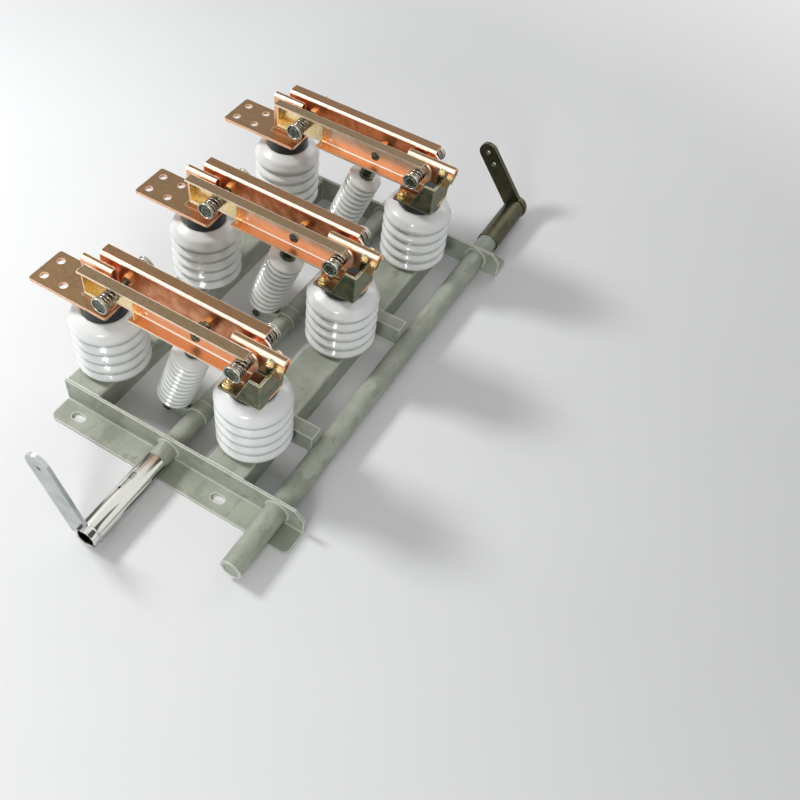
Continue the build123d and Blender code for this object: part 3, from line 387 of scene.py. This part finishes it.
def plated_steel(name, film, clouds_mm, edge, edge_mm, roughness, grit_mm=None, relief_mm=0.0,
                 contrast=(0.35, 0.65), detail=3.0, blush=None):
    """Steel under a film that drifts in clouds between two colours, and is rubbed off along edges."""
    made, tree = new_finish(name)
    clouds = pattern(tree, clouds_mm, detail, contrast)
    tint = add(tree, "ShaderNodeMix", {"Factor": clouds, "A": colour(film[0]), "B": colour(film[1])},
               data_type="RGBA")
    if blush:
        tint = add(tree, "ShaderNodeMix", {"Factor": pattern(tree, 5, 2, contrast=(0.45, 0.75)),
                                           "A": tint, "B": colour(blush)}, data_type="RGBA")
    rubbed = add(tree, "ShaderNodeMix", {"Factor": worn_edges(tree, edge_mm), "A": tint, "B": colour(edge)},
                 data_type="RGBA")
    smooth, rough = roughness
    satin = add(tree, "ShaderNodeMapRange", {"Value": clouds, "To Min": smooth, "To Max": rough})
    sockets = {"Base Color": rubbed, "Metallic": 1.0, "Roughness": satin}
    if grit_mm:
        grit = pattern(tree, grit_mm, detail)
        sockets["Normal"] = add(tree, "ShaderNodeBump", {"Height": grit, "Distance": relief_mm * MM})
    shade(made, sockets)
    return made


zinc = plated_steel("yellow_zinc_plated_steel", ("#ecd094", "#faeabf"), 12, "#f2e3b4", 0.8, (0.22, 0.34),
                    1.5, 0.02, contrast=FULL_RANGE, blush="#eed4a6")
olive = plated_steel("olive_passivated_steel", ("#616a58", "#858266"), 14, "#f2edd2", 2.6, (0.26, 0.38),
                     1.5, 0.02)
grey_zinc = plated_steel("grey_zinc_plated_steel", ("#a5a69c", "#c3c3ba"), 7, "#f0efe8", 0.7, (0.2, 0.3),
                         1.0, 0.01)
dull_zinc = plated_steel("oily_zinc_in_the_cups", ("#4a524b", "#646b5f"), 5, "#d2d3c4", 0.8, (0.26, 0.4))

# %% [markdown]
# The far crank and its sleeve are bare steel, heated and oiled, with no plating at all. The eye sees the
# same thing as under a film: dark clouds and rubbed edges, with a softer shine. So the same function makes
# it.

# %% Oiled steel
dark_steel = plated_steel("oiled_dark_steel", ("#434131", "#565342"), 18, "#b9b6a4", 1.0, (0.32, 0.46),
                          1.2, 0.03, contrast=FULL_RANGE, detail=4.0)

# %% [markdown]
# The near crank's sleeve is drawn tube under nickel plate: very bright, with dark streaks along it that are
# painted reflections. The arm is flat bar, ground before plating, so it looks greyer and more even. Real
# drawing marks are hairlines, here 0.8 and 0.9 mm wide. Anisotropic shading would stretch the shine too,
# but it would need a direction for each face, and stretched noise gives that with no extra data.

# %% Nickel plate
bright_steel, tree = new_finish("nickel_plated_steel")
# Dark streaks along the sleeve are painted reflections.
painted_reflection_bands = pattern(tree, 14, 2, contrast=(0.46, 0.53), stretch=(1, 14, 1))
tube = add(tree, "ShaderNodeMix", {"Factor": painted_reflection_bands, "A": colour("#4f4d47"), "B": colour("#dcdbd5")},
           data_type="RGBA")
marks = pattern(tree, 0.8, 4, stretch=(1, 20, 1))
polish = add(tree, "ShaderNodeMapRange", {"Value": marks, "From Min": NOISE_LOW, "From Max": NOISE_HIGH,
                                          "To Min": 0.12, "To Max": 0.22})
relief = add(tree, "ShaderNodeBump", {"Height": marks, "Distance": 0.01 * MM})
shade(bright_steel, {"Base Color": tube, "Metallic": 1.0, "Roughness": polish, "Normal": relief})

flat_nickel, tree = new_finish("ground_nickel_plate")
plate = add(tree, "ShaderNodeMix", {"Factor": pattern(tree, 40, 2, contrast=FULL_RANGE),
                                    "A": colour("#adb2b2"), "B": colour("#c6cac9")}, data_type="RGBA")
rubbed = add(tree, "ShaderNodeMix", {"Factor": worn_edges(tree, 0.9), "A": plate, "B": colour("#f4f4f0")},
             data_type="RGBA")
marks = pattern(tree, 0.9, 4, stretch=(12, 1, 1))
polish = add(tree, "ShaderNodeMapRange", {"Value": marks, "From Min": NOISE_LOW, "From Max": NOISE_HIGH,
                                          "To Min": 0.2, "To Max": 0.32})
relief = add(tree, "ShaderNodeBump", {"Height": marks, "Distance": 0.01 * MM})
shade(flat_nickel, {"Base Color": rubbed, "Metallic": 1.0, "Roughness": polish, "Normal": relief})

# %% [markdown]
# Spring wire is drawn steel, blued and oiled: smooth, with small sharp lights on each turn. The cap under
# each pad is cast iron, half glossy, and its near-black is partly black enamel and partly painted shade from
# the pad above it. The feet are bare grey iron, rough from the sand mould. All three are simple surfaces,
# and one pattern of noise each is enough.

# %% Spring wire, black caps and iron feet
spring_wire, tree = new_finish("oiled_spring_wire")
oil = add(tree, "ShaderNodeMix", {"Factor": pattern(tree, 4, 2),
                                  "A": colour("#837d74"), "B": colour("#a69f95")}, data_type="RGBA")
shade(spring_wire, {"Base Color": oil, "Metallic": 1.0, "Roughness": 0.18})

# Near-black: partly the cap's black enamel, partly painted shade under the pad.
shaded_black_cap, tree = new_finish("black_iron_and_painted_shade")
enamel = add(tree, "ShaderNodeMix", {"Factor": pattern(tree, 5),
                                     "A": colour("#121314"), "B": colour("#1e1f21")}, data_type="RGBA")
shade(shaded_black_cap, {"Base Color": enamel, "Roughness": 0.35})

foot_iron, tree = new_finish("grey_cast_iron")
sand = pattern(tree, 3, 4)
iron = add(tree, "ShaderNodeMix", {"Factor": sand, "A": colour("#5b5f5a"), "B": colour("#787c75")},
           data_type="RGBA")
relief = add(tree, "ShaderNodeBump", {"Height": sand, "Distance": 0.1 * MM})
shade(foot_iron, {"Base Color": iron, "Roughness": 0.6, "Normal": relief})

# %% [markdown]
# Most CAD pieces keep their shape, because plates, channels and tubes are exact as they are. They only need
# the surface of the real piece. A table says which, and one loop puts it on: it is quicker to read than a
# line each.

# %% Surfaces of the CAD pieces
FINISHES = {
    frame_paint: ["end_angle_near", "end_angle_far", "contact_rail", "hinge_rail", "shaft_bearings",
                  "shaft_hangers", "main_shaft", "shaft_levers", "side_shaft"],
    porcelain: ["contact_posts", "hinge_posts", *[f"rod_insulator_{k}" for k in POLES]],
    foot_iron: ["post_feet"],
    shaded_black_cap: ["post_caps"],
    copper: ["terminal_pads", "fixed_contacts", "hinge_contacts"],
    painted_lit_near_copper: [f"near_blade_{k}" for k in POLES],
    painted_shade_far_copper: [f"far_blade_{k}" for k in POLES],
    zinc: ["hinge_bolts", *[f"press_plates_{k}" for k in POLES]],
    olive: ["hinge_brackets"],
    grey_zinc: [f"spring_bolts_{k}" for k in POLES],
    dull_zinc: ["lever_pins", *[f"rod_fittings_{k}" for k in POLES]],
    spring_wire: [f"springs_{k}" for k in POLES],
    bright_steel: ["crank_sleeve"],
    flat_nickel: ["crank_arm"],
    dark_steel: ["side_sleeve", "side_crank"],
}
for finish, names in FINISHES.items():
    for name in names:
        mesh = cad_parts[name].data
        mesh.materials.clear()
        mesh.materials.append(finish)
print("nodes with a surface:", sum(len(names) for names in FINISHES.values()), "of", len(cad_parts))

# %% [markdown]
# ## Turned pieces
# A post is turned on a wheel, so one outline spun about its axis makes it. The screw modifier would do that
# as well, but here several posts of a row become one piece, and a function that spins into a shared mesh
# does that in one step. Glaze never holds a sharp edge, so corners of the outline become true arcs.

# %% Outlines and turning
ON_AXIS = 0.001


def rounded(points, steps):
    """Outline through corners (x, y, radius), each replaced by an arc of so many steps."""
    outline = []
    for n, (x, y, radius) in enumerate(points):
        here = Vector((x, y))
        if radius == 0 or n in (0, len(points) - 1):
            outline.append((x, y))
            continue
        before = (Vector(points[n - 1][:2]) - here).normalized()
        after = (Vector(points[n + 1][:2]) - here).normalized()
        half = before.angle(after) / 2
        centre = here + (before + after).normalized() * (radius / math.sin(half))
        start = here + before * (radius / math.tan(half)) - centre
        sweep = start.angle_signed(here + after * (radius / math.tan(half)) - centre)
        for k in range(steps + 1):
            turn = Matrix.Rotation(-sweep * k / steps, 2)
            outline.append(tuple(centre + turn @ start))
    return outline


def spin(bm, outline, matrix, steps):
    """Add an outline of (radius, height) turned about Z, then moved by a matrix."""
    rings = []
    for radius, height in outline:
        if radius < ON_AXIS:
            rings.append([bm.verts.new(matrix @ Vector((0, 0, height)))])
            continue
        ring = []
        for n in range(steps):
            angle = 2 * math.pi * n / steps
            point = Vector((radius * math.cos(angle), radius * math.sin(angle), height))
            ring.append(bm.verts.new(matrix @ point))
        rings.append(ring)
    for low, high in zip(rings, rings[1:]):
        for n in range(steps):
            m = (n + 1) % steps
            corners = [low[n % len(low)], low[m % len(low)], high[m % len(high)], high[n % len(high)]]
            unique = list(dict.fromkeys(corners))
            if len(unique) > 2:
                bm.faces.new(unique)


print("a corner of radius 2 becomes", len(rounded([(0, 0, 0), (5, 0, 2), (5, 5, 0)], 4)) - 2, "points")

# %% [markdown]
# Every new piece is drawn as a mesh in millimetres, and one function does the rest: it welds the points,
# turns it to metres, shades it smooth except over sharp edges, and says which body carries it and which CAD
# nodes it stands for. Doing that once keeps each later cell to the shape itself.

# %% From mesh to piece
WELD_DISTANCE = 0.001


def piece(name, bm, finish, slot, body, *nodes, sharp=35):
    """Turn a bmesh in millimetres into a piece that rides on a body and stands for CAD nodes."""
    bmesh.ops.remove_doubles(bm, verts=bm.verts, dist=WELD_DISTANCE)
    bmesh.ops.recalc_face_normals(bm, faces=bm.faces)
    bmesh.ops.scale(bm, vec=(MM, MM, MM), verts=bm.verts)
    mesh = bpy.data.meshes.new(name)
    bm.to_mesh(mesh)
    bm.free()
    mesh.materials.append(finish)
    mesh.shade_smooth()
    mesh.set_sharp_from_angle(angle=math.radians(sharp))
    made = bpy.data.objects.new(name, mesh)
    bpy.context.collection.objects.link(made)
    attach(made, body)
    if nodes:
        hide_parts(*nodes)
    print(name, "has", len(mesh.polygons), "faces")
    return made


print("points closer than", WELD_DISTANCE, "mm become one")

# %% [markdown]
# The grooves get painted shade in their bottom and on their lower side. A material could find them from the
# height alone, but the pull rods lean. So faces are picked by their distance from the axis and their
# direction along it.

# %% Painted shade in the grooves
LOOKS_DOWN = -0.1


def shade_grooves(made, axes, direction, groove_radius, low, high):
    """Give painted shade to the faces near an axis, between two heights along it, that don't look down it."""
    made.data.materials.append(groove_shade)
    count = 0
    for face in made.data.polygons:
        centre = face.center / MM
        foot = min(axes, key=lambda point: abs((centre - point).y))
        along = (centre - foot).dot(direction)
        radius = (centre - foot - direction * along).length
        if radius < groove_radius and low < along < high and face.normal.dot(direction) > LOOKS_DOWN:
            face.material_index = 1
            count += 1
    print(count, "of them are shaded")


print("grooves get", groove_shade.name)

# %% [markdown]
# A post holds live copper off the base. Its five sheds make the surface from top to bottom longer, so that
# current can't creep along a damp one. Each shed is a blunt rim that slopes back to a groove, under a domed
# shoulder. A stack of rings would do for a far view, but in one outline the slopes run smoothly into each
# other.

# %% Porcelain posts
POST_SHEDS = 5
POST_PITCH = 22
POST_FIRST_SHED = 9.5
POST_BOTTOM = 4
POST_TOP = 120
POST_LIP_RADIUS = 54.6
POST_RIM = [(59.5, -2.7, 2.2), (59.5, 2.3, 2.2)]
POST_GROOVE = [(POST_LIP_RADIUS, 8.6, 0), (50.5, 14, 2.2)]
POST_FOOT = [(0, POST_BOTTOM, 0), (46, POST_BOTTOM, 1)]
POST_SHOULDER = [(53, 112, 14), (39.5, POST_TOP, 4), (0, POST_TOP, 0)]
POST_STEPS = 96
POST_GROOVE_SHADE = (5, 97)


def sheds(first, pitch, count, rim, groove):
    """Corners of a row of sheds. Rim and groove are corners whose heights count from the shed's middle."""
    corners = []
    for n in range(count):
        middle = first + pitch * n
        shown = rim + groove if n < count - 1 else rim
        corners += [(radius, middle + rise, rounding) for radius, rise, rounding in shown]
    return corners


post_sheds = sheds(POST_FIRST_SHED, POST_PITCH, POST_SHEDS, POST_RIM, POST_GROOVE)
post_outline = rounded(POST_FOOT + post_sheds + POST_SHOULDER, 5)

for row, x in (("contact", CONTACT_X), ("hinge", PIVOT_X)):
    bm = bmesh.new()
    feet = [Vector((x, y, RAIL_TOP)) for y in POLES.values()]
    for foot in feet:
        spin(bm, post_outline, Matrix.Translation(foot), POST_STEPS)
    made = piece(f"{row}_post_glaze", bm, porcelain, "porcelain", "base", f"{row}_posts")
    shade_grooves(made, feet, Vector((0, 0, 1)), POST_LIP_RADIUS, *POST_GROOVE_SHADE)

# %% [markdown]
# A pull rod lifts the blades while it keeps them off the earthed shaft, so it has eleven closer sheds of
# its own. It leans, and could be turned upright and tilted afterwards. Spun straight about the line from
# the lever pin to the drive pin, it needs no object rotation, and the pins stay the only places to measure.

# %% Porcelain pull rods
LEVER_PIN = Vector((-32.01, 0, 12.03))
DRIVE_PIN = Vector((47, 0, 236))
ROD_SHEDS = 11
ROD_PITCH = 12.7
ROD_FIRST_SHED = 37.3
ROD_START = 32
ROD_END = 172.8
ROD_NECK_RADIUS = 17
ROD_LIP_RADIUS = 28.2
ROD_RIM = [(30.5, -1.8, 1.3), (30.5, 1.3, 1.2)]
ROD_GROOVE = [(ROD_LIP_RADIUS, 3.3, 0), (22.5, 8.2, 1.4)]
ROD_FOOT = [(0, ROD_START, 0), (ROD_NECK_RADIUS, ROD_START, 1.5)]
ROD_HEAD = [(ROD_NECK_RADIUS, ROD_END, 2), (0, ROD_END, 0)]
ROD_STEPS = 72
ROD_GROOVE_SHADE = (34, 165)

rod_axis = DRIVE_PIN - LEVER_PIN
rod_turn = Matrix.Rotation(math.atan2(rod_axis.x, rod_axis.z), 4, "Y")
rod_sheds = sheds(ROD_FIRST_SHED, ROD_PITCH, ROD_SHEDS, ROD_RIM, ROD_GROOVE)
rod_outline = rounded(ROD_FOOT + rod_sheds + ROD_HEAD, 4)

for k, y in POLES.items():
    bm = bmesh.new()
    foot = LEVER_PIN + Vector((0, y, 0))
    spin(bm, rod_outline, Matrix.Translation(foot) @ rod_turn, ROD_STEPS)
    made = piece(f"rod_glaze_{k}", bm, porcelain, "porcelain", f"pull_rod_{k}", f"rod_insulator_{k}")
    shade_grooves(made, [foot], rod_axis.normalized(), ROD_LIP_RADIUS, *ROD_GROOVE_SHADE)

# %% [markdown]
# ## Wound and swept pieces
# Four compression springs press the blades of each pole on the contacts. Their wire is wound on a mandrel,
# and the end turns lie closer to give a flat seat. A curve with a bevel would draw the wire too. Rings of
# points along a helix let the pitch shrink at both ends, and one function joins such rings, for welds as
# well.

# %% Coil springs
CONTACT_BOLT_X = -96.0
WIRE_RADIUS = 1.9
COIL_RADIUS = 10.1
STEPS_PER_TURN = 28
WIRE_SIDES = 10
END_CLOSING = 0.09
# Each spring's x, its two ends from the pole's middle, and its turns
SPRINGS = ((CONTACT_BOLT_X, 21.2, 45.1, 5), (PIVOT_X, 19.2, 41.1, 4.6))


def join_rings(bm, rings):
    """Close a row of rings of points into a tube with ends."""
    sides = len(rings[0])
    for low, high in zip(rings, rings[1:]):
        for m in range(sides):
            bm.faces.new([low[m], low[(m + 1) % sides], high[(m + 1) % sides], high[m]])
    bm.faces.new(rings[0])
    bm.faces.new(rings[-1])


def coil(bm, middle, start, end, turns):
    """Helix of round wire along Y between two distances from a middle, with closer turns at its ends."""
    rings = []
    count = round(turns * STEPS_PER_TURN)
    for n in range(count + 1):
        part = n / count
        angle = 2 * math.pi * turns * part
        along = start + (end - start) * (part - END_CLOSING * math.sin(2 * math.pi * part))
        out = Vector((math.cos(angle), 0, math.sin(angle)))
        centre = middle + Vector((0, along, 0)) + out * COIL_RADIUS
        around = (2 * math.pi * m / WIRE_SIDES for m in range(WIRE_SIDES))
        rings.append([bm.verts.new(centre + (out * math.cos(side) + Vector((0, 1, 0)) * math.sin(side))
                                   * WIRE_RADIUS) for side in around])
    join_rings(bm, rings)


for k, y in POLES.items():
    bm = bmesh.new()
    for side in (-1, 1):
        for x, inner, outer, turns in SPRINGS:
            coil(bm, Vector((x, y, PIVOT_Z)), side * inner, side * outer, turns)
    piece(f"coil_springs_{k}", bm, spring_wire, "spring_steel", f"blades_{k}", f"springs_{k}", sharp=60)

# %% [markdown]
# Bolts lie across the poles, so their shapes are drawn upright and laid on their side by one matrix. A
# hexagon could be a cylinder with six sides, but real heads are chamfered by turning. An outline spun in
# six steps has that chamfer, and washers are spun as well.

# %% Bolt heads and washers
HEX_STEPS = 6
CHAMFER_SHARE = 0.09
CHAMFER_FALL = 0.6
WASHER_STEPS = 40
BROKEN_EDGE = 0.4


def sideways(x, y, z, side):
    """Frame whose Z axis points along Y, toward the far side for 1 and the near side for -1."""
    return Matrix.Translation((x, y, z)) @ Matrix.Rotation(math.radians(-90 * side), 4, "X")


def hexagon(bm, matrix, across, low, high):
    """Chamfered hexagon head or nut between two heights."""
    corner = across / math.sqrt(3)
    chamfer = CHAMFER_SHARE * across
    fall = CHAMFER_FALL * chamfer
    spin(bm, [(0, low), (corner, low), (corner, high - fall), (corner - chamfer, high), (0, high)], matrix,
         HEX_STEPS)


def washer(bm, matrix, radius, low, high):
    """Plain washer with a broken edge."""
    spin(bm, rounded([(0, low, 0), (radius, low, 0), (radius, high, BROKEN_EDGE), (0, high, 0)], 2), matrix,
         WASHER_STEPS)


print("a hexagon is", round(2 / math.sqrt(3), 3), "times as wide over its corners as over its flats")

# %% [markdown]
# A long bolt presses each pair of blades together, through a pressed cup at each end that holds its spring.
# The cup has a stepped wall and a rolled rim, and the chamfered head sits sunk in its oily dish. Cup and
# bolt could stay one solid, but the cup is bright and the bolt dark, so they become two pieces. The dark
# shank is painted shade in the gaps between the spring's turns.

# %% Spring bolts and cups
SHANK_RADIUS = 5
SHANK_SHORT = 6
HEAD_ACROSS = 17
HEAD_SUNK = 0.4
CUP_LENGTH = 7
CUP_RADIUS = 12.9
RIM_RADIUS = 14.5
DISH_RADIUS = 11.6
DISH_DEPTH = 3.4
DISH_GAP = 0.1
OIL_RADIUS = 11.2
CONTACT_CUP_FACE = 54
HINGE_CUP_FACE = 50
SHANK_STEPS = 28
CUP_STEPS = 56
DISH_STEPS = 40


def cup(cups, dishes, place, face):
    """Cup whose rim is face mm from the pole's middle, with the bolt head sunk in its dish."""
    back = face - CUP_LENGTH
    dish = face - DISH_DEPTH
    wall = [(SHANK_RADIUS, back, 0), (CUP_RADIUS, back, 1.2), (CUP_RADIUS, face - 3.6, 0.5),
            (RIM_RADIUS, face - 3, 0.9), (RIM_RADIUS, face, 1.1), (11.9, face, 1.1),
            (DISH_RADIUS, dish, 0.6), (0, dish, 0)]
    spin(cups, rounded(wall, 4), place, CUP_STEPS)
    spin(dishes, [(OIL_RADIUS, dish + DISH_GAP), (0, dish + DISH_GAP)], place, DISH_STEPS)
    hexagon(dishes, place, HEAD_ACROSS, dish, face - HEAD_SUNK)


def spring_bolt(cups, dishes, x, y, face):
    """Bolt across a pole with a cup at each end."""
    for side in (-1, 1):
        cup(cups, dishes, sideways(x, y, PIVOT_Z, side), face)
    # The shank goes into the dark mesh: painted shade between the spring's turns.
    shank = [(SHANK_RADIUS, SHANK_SHORT - face), (SHANK_RADIUS, face - SHANK_SHORT)]
    spin(dishes, shank, sideways(x, y, PIVOT_Z, 1), SHANK_STEPS)


print("a cup is", 2 * RIM_RADIUS, "mm across")

# %% [markdown]
# The pull rod's upper eye turns on the drive pin between the blades. Inside them it has gold nuts, and
# outside a dark washer with a riveted end on the near side and a nut on the far one. A plain pin would move
# as well, but up close the eye looks for nuts and washers, and the shapes of the last cells make them.

# %% Drive pin
BLADE_INSIDE = 14.2
BLADE_OUTSIDE = 17.2
CONTACT_NUT_FACE = 8.2
WASHER_RADIUS = 8.2
WASHER_OUTSIDE = 18.6
DRIVE_NUT_ACROSS = 15
NEAR_NUT_FACE = 9.2
FAR_NUT_FACE = 8.7
END_NUT_FACE = 22.2
PIN_HALF = 18
RIVET = [(5.2, PIN_HALF, 0), (5.2, 21.8, 0.8), (0, 21.8, 0)]


def drive_pin(nuts, dark, y):
    """Pin through a pole's blades, with its nuts and washers."""
    near = sideways(DRIVE_PIN.x, y, DRIVE_PIN.z, -1)
    far = sideways(DRIVE_PIN.x, y, DRIVE_PIN.z, 1)
    spin(nuts, [(SHANK_RADIUS, -PIN_HALF), (SHANK_RADIUS, PIN_HALF)], near, SHANK_STEPS)
    hexagon(nuts, near, HEAD_ACROSS, -BLADE_INSIDE, -FAR_NUT_FACE)
    hexagon(nuts, near, DRIVE_NUT_ACROSS, NEAR_NUT_FACE, BLADE_INSIDE)
    for matrix in (near, far):
        washer(dark, matrix, WASHER_RADIUS, BLADE_OUTSIDE, WASHER_OUTSIDE)
    spin(dark, rounded(RIVET, 3), near, SHANK_STEPS)
    hexagon(dark, far, DRIVE_NUT_ACROSS, WASHER_OUTSIDE, END_NUT_FACE)


for k, y in POLES.items():
    cups, dishes, nuts = bmesh.new(), bmesh.new(), bmesh.new()
    spring_bolt(cups, dishes, CONTACT_BOLT_X, y, CONTACT_CUP_FACE)
    spring_bolt(cups, dishes, PIVOT_X, y, HINGE_CUP_FACE)
    inward = sideways(CONTACT_BOLT_X, y, PIVOT_Z, -1)
    hexagon(nuts, inward, HEAD_ACROSS, -BLADE_INSIDE, -CONTACT_NUT_FACE)
    drive_pin(nuts, dishes, y)
    body = f"blades_{k}"
    piece(f"spring_cups_{k}", cups, grey_zinc, "zinc_steel", body, f"spring_bolts_{k}", sharp=30)
    piece(f"cup_dishes_{k}", dishes, dull_zinc, "zinc_steel", body, sharp=30)
    piece(f"drive_pins_{k}", nuts, zinc, "zinc_steel", body, sharp=30)

# %% [markdown]
# Small gold bolts hold each hinge bracket: one through its foot, and two through the folded copper bar. At
# this size the eye sees only a washer's ring and the light on a chamfer, so threads are left out and both
# are drawn.

# %% Bracket bolts
FOOT_BOLT_X = PIVOT_X - 19
FOOT_BOLT_Y = -33
FOOT_TOP = 193
FOOT_WASHER = 1.5
FOOT_WASHER_RADIUS = 9
FOOT_BOLT_ACROSS = 13
FOOT_BOLT_HEAD = 7.3
STUD_RADIUS = 3
STUD_LOW = 7
STUD_TOP = 9.2
STUD_STEPS = 20
# Each bar bolt's x, z, and the distance of its near head from the pole's middle
BAR_BOLTS = ((PIVOT_X + 37.5, PIVOT_Z + 12, 12.5), (PIVOT_X + 51, PIVOT_Z + 6, 8.5))
BAR_FAR_FACE = 8.5
BAR_WASHER = 0.8
BAR_WASHER_RADIUS = 6.4
BAR_BOLT_ACROSS = 10
BAR_BOLT_HEAD = 4
BAR_TIP_RADIUS = 2.8
BAR_TIP_LOW = 3
BAR_TIP_TOP = 5.6
BAR_TIP_STEPS = 16


def foot_bolt(bm, y):
    """Upright bolt through the foot of a bracket."""
    upright = Matrix.Translation((FOOT_BOLT_X, y + FOOT_BOLT_Y, FOOT_TOP))
    washer(bm, upright, FOOT_WASHER_RADIUS, 0, FOOT_WASHER)
    hexagon(bm, upright, FOOT_BOLT_ACROSS, FOOT_WASHER, FOOT_BOLT_HEAD)
    stud = [(STUD_RADIUS, STUD_LOW, 0), (STUD_RADIUS, STUD_TOP, 0.8), (0, STUD_TOP, 0)]
    spin(bm, rounded(stud, 2), upright, STUD_STEPS)


def bar_bolt(bm, x, y, z, near_face):
    """Bolt through a folded bar, from a near face to the far one."""
    near = sideways(x, y, z, -1)
    far = sideways(x, y, z, 1)
    spin(bm, [(STUD_RADIUS, -near_face), (STUD_RADIUS, BAR_FAR_FACE)], far, STUD_STEPS)
    for matrix, face in ((near, near_face), (far, BAR_FAR_FACE)):
        washer(bm, matrix, BAR_WASHER_RADIUS, face, face + BAR_WASHER)
        hexagon(bm, matrix, BAR_BOLT_ACROSS, face + BAR_WASHER, face + BAR_BOLT_HEAD)
    low, top = near_face + BAR_TIP_LOW, near_face + BAR_TIP_TOP
    tip = [(BAR_TIP_RADIUS, low, 0), (BAR_TIP_RADIUS, top, 0.6), (0, top, 0)]
    spin(bm, rounded(tip, 2), near, BAR_TIP_STEPS)


bm = bmesh.new()
for y in POLES.values():
    foot_bolt(bm, y)
    for x, z, near_face in BAR_BOLTS:
        bar_bolt(bm, x, y, z, near_face)
piece("bracket_bolts", bm, zinc, "zinc_steel", "base", "hinge_bolts", sharp=30)

# %% [markdown]
# The rails are arc-welded to the end angles, and the near crank to its sleeve. A weld cools in overlapping
# drops and leaves a rippled bead. A fillet in CAD would be too smooth, so rings are swept along the joint,
# and their size swells at each ripple and a little at random.

# %% Rail welds
RIPPLE = 2.6
BEAD_STEP = 0.7
BEAD_SIDES = 8
BEAD_TIP = 0.3
BEAD_THIN = 0.86
BEAD_SWELL = 0.22
BEAD_CHANCE = 0.05
TOP_BEAD = 1.3
SIDE_BEAD = 1.5
RAIL_END_Y = 327.2
RAIL_HALF_WIDTH = 34
TOP_WELD_HALF = RAIL_HALF_WIDTH - 1
SIDE_WELD_LOW = 6
SIDE_WELD_TOP = RAIL_TOP - 3


def bead(bm, points, radius):
    """Rippled weld bead along a line of points in millimetres, thin at both tips."""
    rings = []
    run = 0.0
    for n, point in enumerate(points):
        before, after = points[max(n - 1, 0)], points[min(n + 1, len(points) - 1)]
        forward = (after - before).normalized()
        across = forward.orthogonal().normalized()
        up = forward.cross(across)
        if n:
            run += (point - points[n - 1]).length
        swell = BEAD_THIN + BEAD_SWELL * abs(math.sin(math.pi * run / RIPPLE))
        swell += random.uniform(-BEAD_CHANCE, BEAD_CHANCE)
        size = radius * swell * (BEAD_TIP if n in (0, len(points) - 1) else 1)
        around = (2 * math.pi * m / BEAD_SIDES for m in range(BEAD_SIDES))
        rings.append([bm.verts.new(point + (across * math.cos(a) + up * math.sin(a)) * size)
                      for a in around])
    join_rings(bm, rings)


def straight(start, end):
    """Points from start to end, a step of the bead apart."""
    count = max(2, round((end - start).length / BEAD_STEP))
    return [start.lerp(end, n / count) for n in range(count + 1)]


bm = bmesh.new()
for x in (CONTACT_X, PIVOT_X):
    for side in (-1, 1):
        y = side * RAIL_END_Y
        left, right = Vector((x - TOP_WELD_HALF, y, RAIL_TOP)), Vector((x + TOP_WELD_HALF, y, RAIL_TOP))
        bead(bm, straight(left, right), TOP_BEAD)
        for edge in (x - RAIL_HALF_WIDTH, x + RAIL_HALF_WIDTH):
            low, top = Vector((edge, y, SIDE_WELD_LOW)), Vector((edge, y, SIDE_WELD_TOP))
            bead(bm, straight(low, top), SIDE_BEAD)
piece("rail_welds", bm, frame_paint, "frame_paint", "base", sharp=60)

# %% [markdown]
# The near crank's weld runs once around its sleeve, on the same kind of rings. The side shaft's near end is
# closed. A solid end could be drawn in the CAD model, but a thin disc in the tube, spun like the washers,
# looks the same and leaves the tube as it is.

# %% Crank weld and the closed end of the side shaft
CRANK_WELD_Y = -510.4
CRANK_WELD_RADIUS = 19.6
SIDE_SHAFT_END_Y = -446.5
PLUG_RADIUS = 13.9
PLUG_THICKNESS = 2.2
PLUG_STEPS = 48


def once_around(x, y, z, radius):
    """Points around a shaft that runs along Y, a step of the bead apart."""
    count = round(2 * math.pi * radius / BEAD_STEP)
    turns = (2 * math.pi * n / count for n in range(count + 1))
    return [Vector((x + radius * math.cos(a), y, z + radius * math.sin(a))) for a in turns]


bm = bmesh.new()
bead(bm, once_around(MAIN_SHAFT_X, CRANK_WELD_Y, SHAFT_Z, CRANK_WELD_RADIUS), SIDE_BEAD)
piece("crank_weld", bm, flat_nickel, "bright_steel", "main_shaft", sharp=60)

bm = bmesh.new()
plug = [(PLUG_RADIUS, 0, 0), (PLUG_RADIUS, PLUG_THICKNESS, 0.8), (0, PLUG_THICKNESS, 0)]
spin(bm, rounded(plug, 3), sideways(SIDE_SHAFT_X, SIDE_SHAFT_END_Y, SHAFT_Z, -1), PLUG_STEPS)
piece("side_shaft_end_plug", bm, frame_paint, "frame_paint", "side_shaft", sharp=30)
